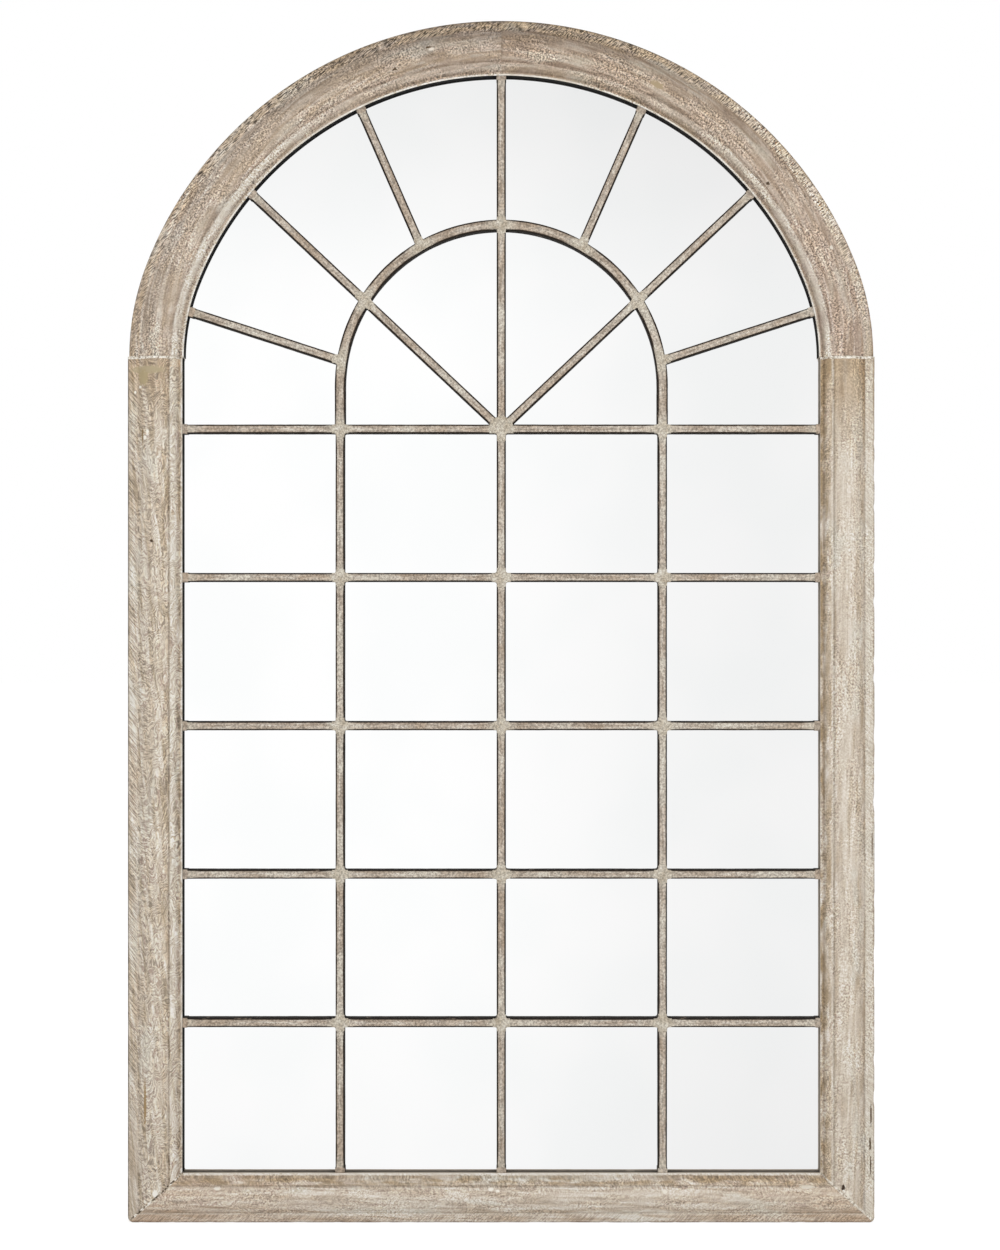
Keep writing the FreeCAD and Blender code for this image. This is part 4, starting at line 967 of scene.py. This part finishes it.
def grille_crossings():
    """Every place where bars meet each other or the frame, with the ways that lead from it."""
    places = []
    for row in range(ROWS):
        height = row_height(row)
        for _, side in SIDES:
            places.append((Vector((side * SIGHT_HALF, 0, height)), [Vector((-side, 0, 0))], True))
        for _, column in COLUMNS:
            place = Vector((column * BAY, 0, height))
            if row or column:
                places.append((place, [RIGHT, UP, LEFT, DOWN], False))
    for _, column in COLUMNS:
        places.append((Vector((column * BAY, 0, RAIL_TOP)), [UP], True))
    hub_ways = [RIGHT, ray_way(MIDDLE_RAY, 1), UP, ray_way(MIDDLE_RAY, -1), LEFT, DOWN]
    places.append((SPRINGING_MIDDLE, hub_ways, False))
    top = Vector((0, 0, HOOP_CENTRE + BAY))
    places.append((top, [RIGHT, UP, LEFT, DOWN], False))
    places.append((Vector((0, 0, arch_point(math.pi / 2, 1).z)), [DOWN], True))
    for _, side in SIDES:
        for name, angle, lift in RAYS:
            ray = ray_way(angle, side)
            meet = hub_point(angle, side, lift)
            out = (meet - HOOP_MIDDLE).normalized()
            round_hoop = Vector((-out.z, 0, out.x))
            ways = [ray, round_hoop, -round_hoop]
            if name == "middle":
                ways.append(-ray)
            places.append((meet, ways, False))
            places.append((arch_point(angle, side, lift), [-ray], True))
    return places


# A weld's arms taper over their last part, and narrow openings are filled with a web.
END_TAPER = 1.6 * MM
NARROW = math.radians(60)
# A weld starts inside the bars and stands proud of their front, and its rim is stepped in.
WELD_FOOT = BAR_BACK - 0.5 * MM
WELD_LIFT = 1.1 * MM
WELD_DOME = BAR_FRONT + 0.5 * MM
RIM_WIDTH = 0.7 * MM
RIM_RISES = (0.9 * MM, 0.35 * MM, 0.15 * MM)


def weld_outline(ways, half, reach, fillet):
    """Corners of a joint seen from the front: bar ends with small curves between them."""
    ways = sorted(ways, key=lambda way: math.atan2(way.z, way.x))
    outline = []
    for place, way in enumerate(ways):
        following = ways[(place + 1) % len(ways)]
        aside = Vector((-way.z, 0, way.x)) * half
        for back, share in ((END_TAPER, -1), (0, -0.5), (0, 0.5), (END_TAPER, 1)):
            outline.append(way * (reach - back) + aside * share)
        opening = math.atan2(way.x * following.z - way.z * following.x,
                             way.x * following.x + way.z * following.z) % (2 * math.pi)
        # Between bars that meet at a narrower angle, the weld fills the gap as a web.
        if NARROW < opening < math.pi - 0.1:
            valley = (way + following).normalized() * half / math.sin(opening / 2)
            first = valley + way * fillet
            last = valley + following * fillet
            for share in (0, 0.25, 0.5, 0.75, 1):
                outline.append(first * (1 - share) ** 2 + valley * 2 * share * (1 - share)
                               + last * share ** 2)
    return outline


def narrowest(ways):
    """The smallest opening between neighbouring bars of a joint."""
    turns = sorted(math.atan2(way.z, way.x) for way in ways)
    return min([second - first for first, second in zip(turns, turns[1:])]
               + [turns[0] + 2 * math.pi - turns[-1]])


def make_weld(bm, place, ways, at_frame, seed):
    """One weld: a block between the bars' ends with a low uneven dome on its front."""
    half = BAR_HALF * 0.96
    reach = (9.5 + 3 * dent(place, 50 * MM, seed)) * MM
    fillet = (2.6 + 1.8 * dent(place, 40 * MM, seed + 2)) * MM
    if at_frame:
        ways = [ways[0], -ways[0]]
        reach *= 0.75
        half *= 1.1
    opening = narrowest(ways)
    room = 0.8 * MM if opening < NARROW else fillet + 2 * MM
    reach = max(reach, half / math.tan(opening / 2) + room + END_TAPER)
    outline = weld_outline(ways, half, reach, fillet)
    corners = [bm.verts.new(place + corner + Vector((0, WELD_FOOT, 0))) for corner in outline]
    face = bm.faces.new(corners)
    face.material_index = 2 if at_frame else 0
    face.normal_update()
    if face.normal.y > 0:
        face.normal_flip()
    raised = bmesh.ops.extrude_face_region(bm, geom=[face])["geom"]
    top = [item for item in raised if isinstance(item, bmesh.types.BMFace)][0]
    bmesh.ops.translate(bm, verts=top.verts, vec=(0, BAR_FRONT + WELD_LIFT - WELD_FOOT, 0))
    for rise in RIM_RISES:
        bmesh.ops.inset_region(bm, faces=[top], thickness=RIM_WIDTH, depth=rise,
                               use_even_offset=True)
    bmesh.ops.triangulate(bm, faces=[top])
    # The index is -1 on the corners of this weld only, until they are counted below.
    dome = {vertex for vertex in bm.verts if vertex.index == -1 and vertex.co.y < WELD_DOME}
    rims = [edge for edge in bm.edges if edge.verts[0] in dome and edge.verts[1] in dome]
    bmesh.ops.subdivide_edges(bm, edges=rims, cuts=2, use_grid_fill=True)
    for vertex in bm.verts:
        if vertex.index == -1 and vertex.co.y < WELD_DOME:
            away = Vector((vertex.co.x - place.x, 0, vertex.co.z - place.z)).length
            fade = max(0.0, 1 - away / reach)
            vertex.co.y -= (0.4 * fade + 0.35 * dent(vertex.co, 3.5 * MM, seed) - 0.2) * MM
    bm.verts.index_update()


def make_welds():
    """All the welds as one piece: filler in front, dark steel with painted shade on the sides,
    wash at the frame.
    """
    bm = bmesh.new()
    for count, (place, ways, at_frame) in enumerate(grille_crossings()):
        make_weld(bm, place, ways, at_frame, 1 + 0.7 * count)
    bmesh.ops.recalc_face_normals(bm, faces=bm.faces)
    # Side faces take the dark steel, which is partly painted shade.
    for face in bm.faces:
        if abs(face.normal.y) < 0.3:
            face.material_index = 1
    steel, wash = (bpy.data.materials[name] for name in ("dark_steel_and_shade", "limewashed_bar"))
    make_piece("weld_blobs", bm, [weld_filler(), steel, wash], ["weld_fillets"])


def make_grille(step):
    """Every bar of the grille, in its order: rows with their uprights, the fan and the hoop."""
    materials = [limewashed_bar(), dark_steel_and_shade()]
    crossings = [place for place, _, _ in grille_crossings()]

    def lay(node, start, direction, length, seed):
        straight_bar(node, start, direction, length, crossings, materials, step, seed)

    def lay_upright(node, across, seed):
        low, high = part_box(node)
        lay(node, Vector((across, 0, low.z)), UP, high.z - low.z, seed)

    for row in range(ROWS):
        start = Vector((-SIGHT_HALF, 0, row_height(row)))
        lay(row_name(row), start, RIGHT, 2 * SIGHT_HALF, row + 1)
        for name, column in COLUMNS:
            lay_upright(f"upright_{name}_{row + 1}", column * BAY, 3 * row + column)
    for node in ("spoke_lower", "spoke_upper"):
        lay_upright(node, 0, 21)
    for side_name, side in SIDES:
        for name, angle, lift in RAYS:
            start = hub_point(angle, side, lift)
            length = (arch_point(angle, side, lift) - start).length
            lay(f"ray_{name}_{side_name}", start, ray_way(angle, side), length, 30 + side)
        way = ray_way(MIDDLE_RAY, side)
        length = (hub_point(MIDDLE_RAY, side) - SPRINGING_MIDDLE).length
        lay(f"diagonal_{side_name}", SPRINGING_MIDDLE, way, length, 40 + side)
    make_hoop(crossings, materials, step)


def make_hoop(crossings, materials, step):
    """The bent bar, cut square across its bend and its legs, roughened and painted."""
    bm = cad_copy("hoop_bar")
    count = round(math.pi / 2 * BAY / step)
    planes = []
    for place in range(count + 1):
        angle = math.pi / 2 * place / count
        for side in (-1, 1):
            planes.append((HOOP_MIDDLE, Vector((-side * math.sin(angle), 0, math.cos(angle)))))
    legs = round((HOOP_CENTRE - HOOP_FOOT) / step)
    for place in range(1, legs):
        planes.append((Vector((0, 0, HOOP_FOOT + (HOOP_CENTRE - HOOP_FOOT) * place / legs)), UP))
    cut_across(bm, planes)
    roughen_bar(bm, crossings, hoop_unroll, 50)
    make_piece("hoop_bar_bent", bm, materials, ["hoop_bar"])


# Fillings on the frame's joints.

def make_joint_filler(name, node, point, normal, width, seed, material):
    """A thin raised line of filler across the moulding, broken here and there."""
    bm = section_loop(node, point, normal, keep=lambda place: place.y < FILLED_FROM)
    refine(bm, 0.8 * MM, front_edge)
    way = Vector(normal).normalized()
    steps = 6
    bmesh.ops.translate(bm, verts=bm.verts, vec=-way * width / 2)
    sweep(bm, [{"slide": way * width / steps, "steps": steps}])
    corner = [vertex for vertex in bm.verts if vertex.co.z < FOOT + CORNER / 2
              and abs(vertex.co.x) > HALF_WIDTH - CORNER / 2]
    bmesh.ops.delete(bm, geom=corner, context="VERTS")
    bmesh.ops.recalc_face_normals(bm, faces=bm.faces)
    bm.normal_update()
    if sum(face.normal.y for face in bm.faces) > 0:
        bmesh.ops.reverse_faces(bm, faces=bm.faces)
        bm.normal_update()
    for vertex in bm.verts:
        off = abs((vertex.co - Vector(point)).dot(way)) / (width / 2)
        rise = 0.5 * (1 - off ** 2) + 0.4 * dent(vertex.co, 7 * MM, seed) + 0.05
        rise = max(-0.6, rise - 0.4 * max(0.0, off - 0.6))
        vertex.co += vertex.normal * rise * MM
        vertex.co.y = max(vertex.co.y, FRONT)
        vertex.co.x = max(-HALF_WIDTH, min(HALF_WIDTH, vertex.co.x))
        vertex.co.z = max(FOOT, vertex.co.z)
    write_grain(bm, unroll_stile)
    bmesh.ops.solidify(bm, geom=bm.faces[:], thickness=0.6 * MM)
    bmesh.ops.recalc_face_normals(bm, faces=bm.faces)
    make_piece(name, bm, [material])


def make_fillers():
    """Pale filler in the joints and the right mitre; in the left mitre it shows in dashes."""
    pale = joint_filler("joint_filler", 3, [
        (0.37, "8E8070"), (0.44, "C9BFAF"), (0.56, "E3DCD0"), (0.64, "F4F0E8")])
    dashed = joint_filler("mitre_filler", 4.2, [
        (0.42, "54483B"), (0.49, "AFA290"), (0.56, "D5CCBD"), (0.64, "F4F0E8")])
    for name, side in SIDES:
        point = (side * HALF_WIDTH, 0, JOINT - 1.2 * MM)
        make_joint_filler(f"joint_filler_{name}", f"{name}_stile", point, UP, 3.2 * MM,
                          60 + side, pale)
        normal = side * mitre_normal(side).normalized()
        point = Vector((side * HALF_WIDTH, 0, FOOT)) + UP * 0.6 * MM
        make_joint_filler(f"mitre_filler_{name}", f"{name}_stile", point, normal, 2.6 * MM,
                          70 + side, dashed if side < 0 else pale)


# The mirror and the pieces on the back keep their CAD shape.

def dress(nodes, material):
    """Give CAD pieces a material and leave their shape alone."""
    for node in nodes:
        slots = NODES[node].data.materials
        slots.clear()
        slots.append(material)


# The stage.

# The photograph is this high, and the object fills these of its rows, in pixels.
PHOTO_ROWS = 1250
OBJECT_ROWS = 1199.5
TOP_ROW = 22
# The object's middle stands this far right of the photograph's, in pixels.
OFF_MIDDLE = 1.3
SENSOR = 36
LAMP_AIM = Vector((0, 0, -0.2))


def make_stage(settings):
    """Floor, world, lamps and camera."""
    scene = bpy.context.scene
    make_floor(scene)
    make_world(scene, settings)
    for name, place, size, power in (
            ("key", (1.2, -2.8, 0.7), 1.6, settings.key_power),
            ("fill", (-1.7, -2.6, -0.4), 2.2, settings.fill_power),
            ("back", (0.3, 2.4, 1.6), 2.0, settings.back_power)):
        make_lamp(scene, name, Vector(place), size, power)
    make_camera(scene, settings.camera_distance)
    scene.view_settings.view_transform = "Standard"


def make_floor(scene):
    """A pale floor. Seen directly, it is as white as the world and keeps a light shadow."""
    material, tree = new_material("pale_floor")
    grit = add(tree, "noise", add(tree, "place"), per(9), 3)
    share = add(tree, "step", grit, 0.3, 0.7)
    pale = add(tree, "mix", share, linear("F6F6F6"), linear("FBFBFB"))
    rays = add(tree, "LightPath")
    seen = add(tree, "MAXIMUM", rays["Is Glossy Ray"], rays["Is Transmission Ray"])
    seen = add(tree, "MAXIMUM", rays["Is Camera Ray"], seen)
    diffuse = add(tree, "BsdfDiffuse", inputs={"Color": pale})["BSDF"]
    glow = add(tree, "Emission", inputs={"Color": pale, "Strength": 1.4})["Emission"]
    share = add(tree, "MULTIPLY", seen, 0.62)
    surface = add(tree, "MixShader", inputs={0: share, 1: diffuse, 2: glow})
    add(tree, "OutputMaterial", inputs={"Surface": surface["Shader"]})
    bm = bmesh.new()
    bmesh.ops.create_grid(bm, x_segments=8, y_segments=8, size=30)
    bmesh.ops.translate(bm, verts=bm.verts, vec=(0, 0, FOOT))
    mesh = bpy.data.meshes.new("floor")
    bm.to_mesh(mesh)
    bm.free()
    mesh.materials.append(material)
    floor = bpy.data.objects.new("floor", mesh)
    scene.collection.objects.link(floor)
    floor.visible_glossy = False


def make_world(scene, settings):
    """White where it is seen, grey where it only lights, and softly shaded in the mirror."""
    world = bpy.data.worlds.new("studio")
    scene.world = world
    world.use_nodes = True
    tree = world.node_tree
    tree.nodes.clear()
    rays = add(tree, "LightPath")
    seen = add(tree, "MAXIMUM", rays["Is Camera Ray"], rays["Is Transmission Ray"])
    way = add(tree, "TexCoord")["Generated"]
    right, _, up = add(tree, "SeparateXYZ", inputs={"Vector": way})
    # What the mirror faces is a little darker towards its right, its top and its bottom.
    facing = add(tree, "step", right, -0.035, 0.1, 1.0, 0.9)
    facing = add(tree, "MULTIPLY", facing, add(tree, "step", up, 0.1, 0.2, 1.0, 0.88))
    facing = add(tree, "MULTIPLY", facing, add(tree, "step", up, -0.09, -0.2, 1.0, 0.955))
    grey = add(tree, "CombineColor", inputs={"Red": facing, "Green": facing, "Blue": facing})
    light = add(tree, "mix", rays["Is Glossy Ray"], linear(settings.studio_grey), grey["Color"])
    colour = add(tree, "mix", seen, light, linear("FFFFFF"))
    back = add(tree, "Background", inputs={"Color": colour, "Strength": 1.0})
    add(tree, "OutputWorld", inputs={"Surface": back["Background"]})


def make_lamp(scene, name, place, size, power):
    """A round soft lamp, aimed at the mirror and not seen in it."""
    lamp = bpy.data.lights.new(name, "AREA")
    lamp.shape = "DISK"
    lamp.size = size
    lamp.energy = power
    holder = bpy.data.objects.new(name, lamp)
    holder.location = place
    holder.rotation_euler = (LAMP_AIM - place).to_track_quat("-Z", "Y").to_euler()
    holder.visible_glossy = False
    scene.collection.objects.link(holder)


def make_camera(scene, distance):
    """A camera straight in front that frames the object as the photograph does."""
    height = CROWN - FOOT
    camera = bpy.data.cameras.new("camera")
    camera.sensor_fit = "VERTICAL"
    camera.sensor_height = SENSOR
    camera.lens = SENSOR * (OBJECT_ROWS / PHOTO_ROWS) * (distance + FRONT / 2) / height
    camera.clip_end = 200
    holder = bpy.data.objects.new("camera", camera)
    pixel = height / OBJECT_ROWS
    middle = CROWN - (PHOTO_ROWS / 2 - TOP_ROW) * pixel
    holder.location = (-OFF_MIDDLE * pixel, -distance, middle)
    holder.rotation_euler = (math.pi / 2, 0, 0)
    scene.collection.objects.link(holder)
    scene.camera = holder


class MirrorSizes(PropertyGroup):
    moulding_step: FloatProperty(name="Moulding step", unit="LENGTH", default=3.4 * MM,
                                 description="Distance between cuts along the frame's moulding")
    bar_step: FloatProperty(name="Bar step", unit="LENGTH", default=5 * MM,
                            description="Distance between cuts along a glazing bar")


class MirrorStudio(PropertyGroup):
    studio_grey: StringProperty(name="Studio grey", default="C9C9C9",
                                description="Colour of the light from all round, as sRGB hex")
    key_power: FloatProperty(name="Key", unit="POWER", default=34,
                             description="Power of the lamp on the right")
    fill_power: FloatProperty(name="Fill", unit="POWER", default=18,
                              description="Power of the lamp on the left")
    back_power: FloatProperty(name="Back", unit="POWER", default=16,
                              description="Power of the lamp behind the object")
    camera_distance: FloatProperty(name="Camera distance", unit="LENGTH", default=3.3,
                                   description="Distance of the camera from the back plane")


class MIRROR_OT_frame(Operator):
    """Make the two stiles, the bottom rail and the two halves of the arch"""
    bl_idname = "mirror.frame"
    bl_label = "Frame"

    def execute(self, context):
        step = context.scene.mirror_sizes.moulding_step
        for name, side in SIDES:
            make_stile(name, side, step)
            make_arch(name, side, step)
        make_rail(step)
        return {"FINISHED"}


class MIRROR_OT_grille(Operator):
    """Make the glazing bars and the welds that join them"""
    bl_idname = "mirror.grille"
    bl_label = "Grille"

    def execute(self, context):
        make_grille(context.scene.mirror_sizes.bar_step)
        make_welds()
        return {"FINISHED"}


class MIRROR_OT_fillers(Operator):
    """Make the lines of filler on the frame's joints"""
    bl_idname = "mirror.fillers"
    bl_label = "Joint fillers"

    def execute(self, context):
        make_fillers()
        return {"FINISHED"}


class MIRROR_OT_glass(Operator):
    """Finish the sheet of mirror"""
    bl_idname = "mirror.glass"
    bl_label = "Mirror"

    def execute(self, context):
        dress(["mirror_glass"], silvered_glass())
        return {"FINISHED"}


class MIRROR_OT_back(Operator):
    """Finish the backing board, dowels, screws, hangers and bumpers"""
    bl_idname = "mirror.back"
    bl_label = "Back"

    def execute(self, context):
        dress(["backing_board"], hardboard())
        dress(["joint_dowels"], beech())
        dress(["board_screws", "hanger_screws"], zinc_plate("zinc_screws", "C8C4B4", "9E9A8C"))
        dress(["strap_left", "strap_right", "ring_left", "ring_right"],
              zinc_plate("zinc_hangers", "C9CBCC", "9A9D9F"))
        dress(["wall_bumpers"], bumper_rubber())
        return {"FINISHED"}


class MIRROR_OT_stage(Operator):
    """Make the floor, the lights and the camera"""
    bl_idname = "mirror.stage"
    bl_label = "Stage"

    def execute(self, context):
        make_stage(context.scene.mirror_studio)
        return {"FINISHED"}


STEPS = (MIRROR_OT_frame, MIRROR_OT_grille, MIRROR_OT_fillers, MIRROR_OT_glass,
         MIRROR_OT_back, MIRROR_OT_stage)


class MIRROR_PT_steps(Panel):
    bl_label = "Arched window mirror"
    bl_space_type = "VIEW_3D"
    bl_region_type = "UI"
    bl_category = "Mirror"

    def draw(self, context):
        for step in STEPS:
            self.layout.operator(step.bl_idname)
        for settings in (context.scene.mirror_sizes, context.scene.mirror_studio):
            for name in settings.bl_rna.properties.keys():
                if name not in ("rna_type", "name"):
                    self.layout.prop(settings, name)


CLASSES = (MirrorSizes, MirrorStudio, *STEPS, MIRROR_PT_steps)


def register():
    for item in CLASSES:
        bpy.utils.register_class(item)
    bpy.types.Scene.mirror_sizes = PointerProperty(type=MirrorSizes)
    bpy.types.Scene.mirror_studio = PointerProperty(type=MirrorStudio)


def unregister():
    del bpy.types.Scene.mirror_studio
    del bpy.types.Scene.mirror_sizes
    for item in reversed(CLASSES):
        bpy.utils.unregister_class(item)


def main():
    register()
    bpy.ops.mirror.frame()
    bpy.ops.mirror.grille()
    bpy.ops.mirror.fillers()
    bpy.ops.mirror.glass()
    bpy.ops.mirror.back()
    bpy.ops.mirror.stage()


if __name__ == "__main__":
    main()
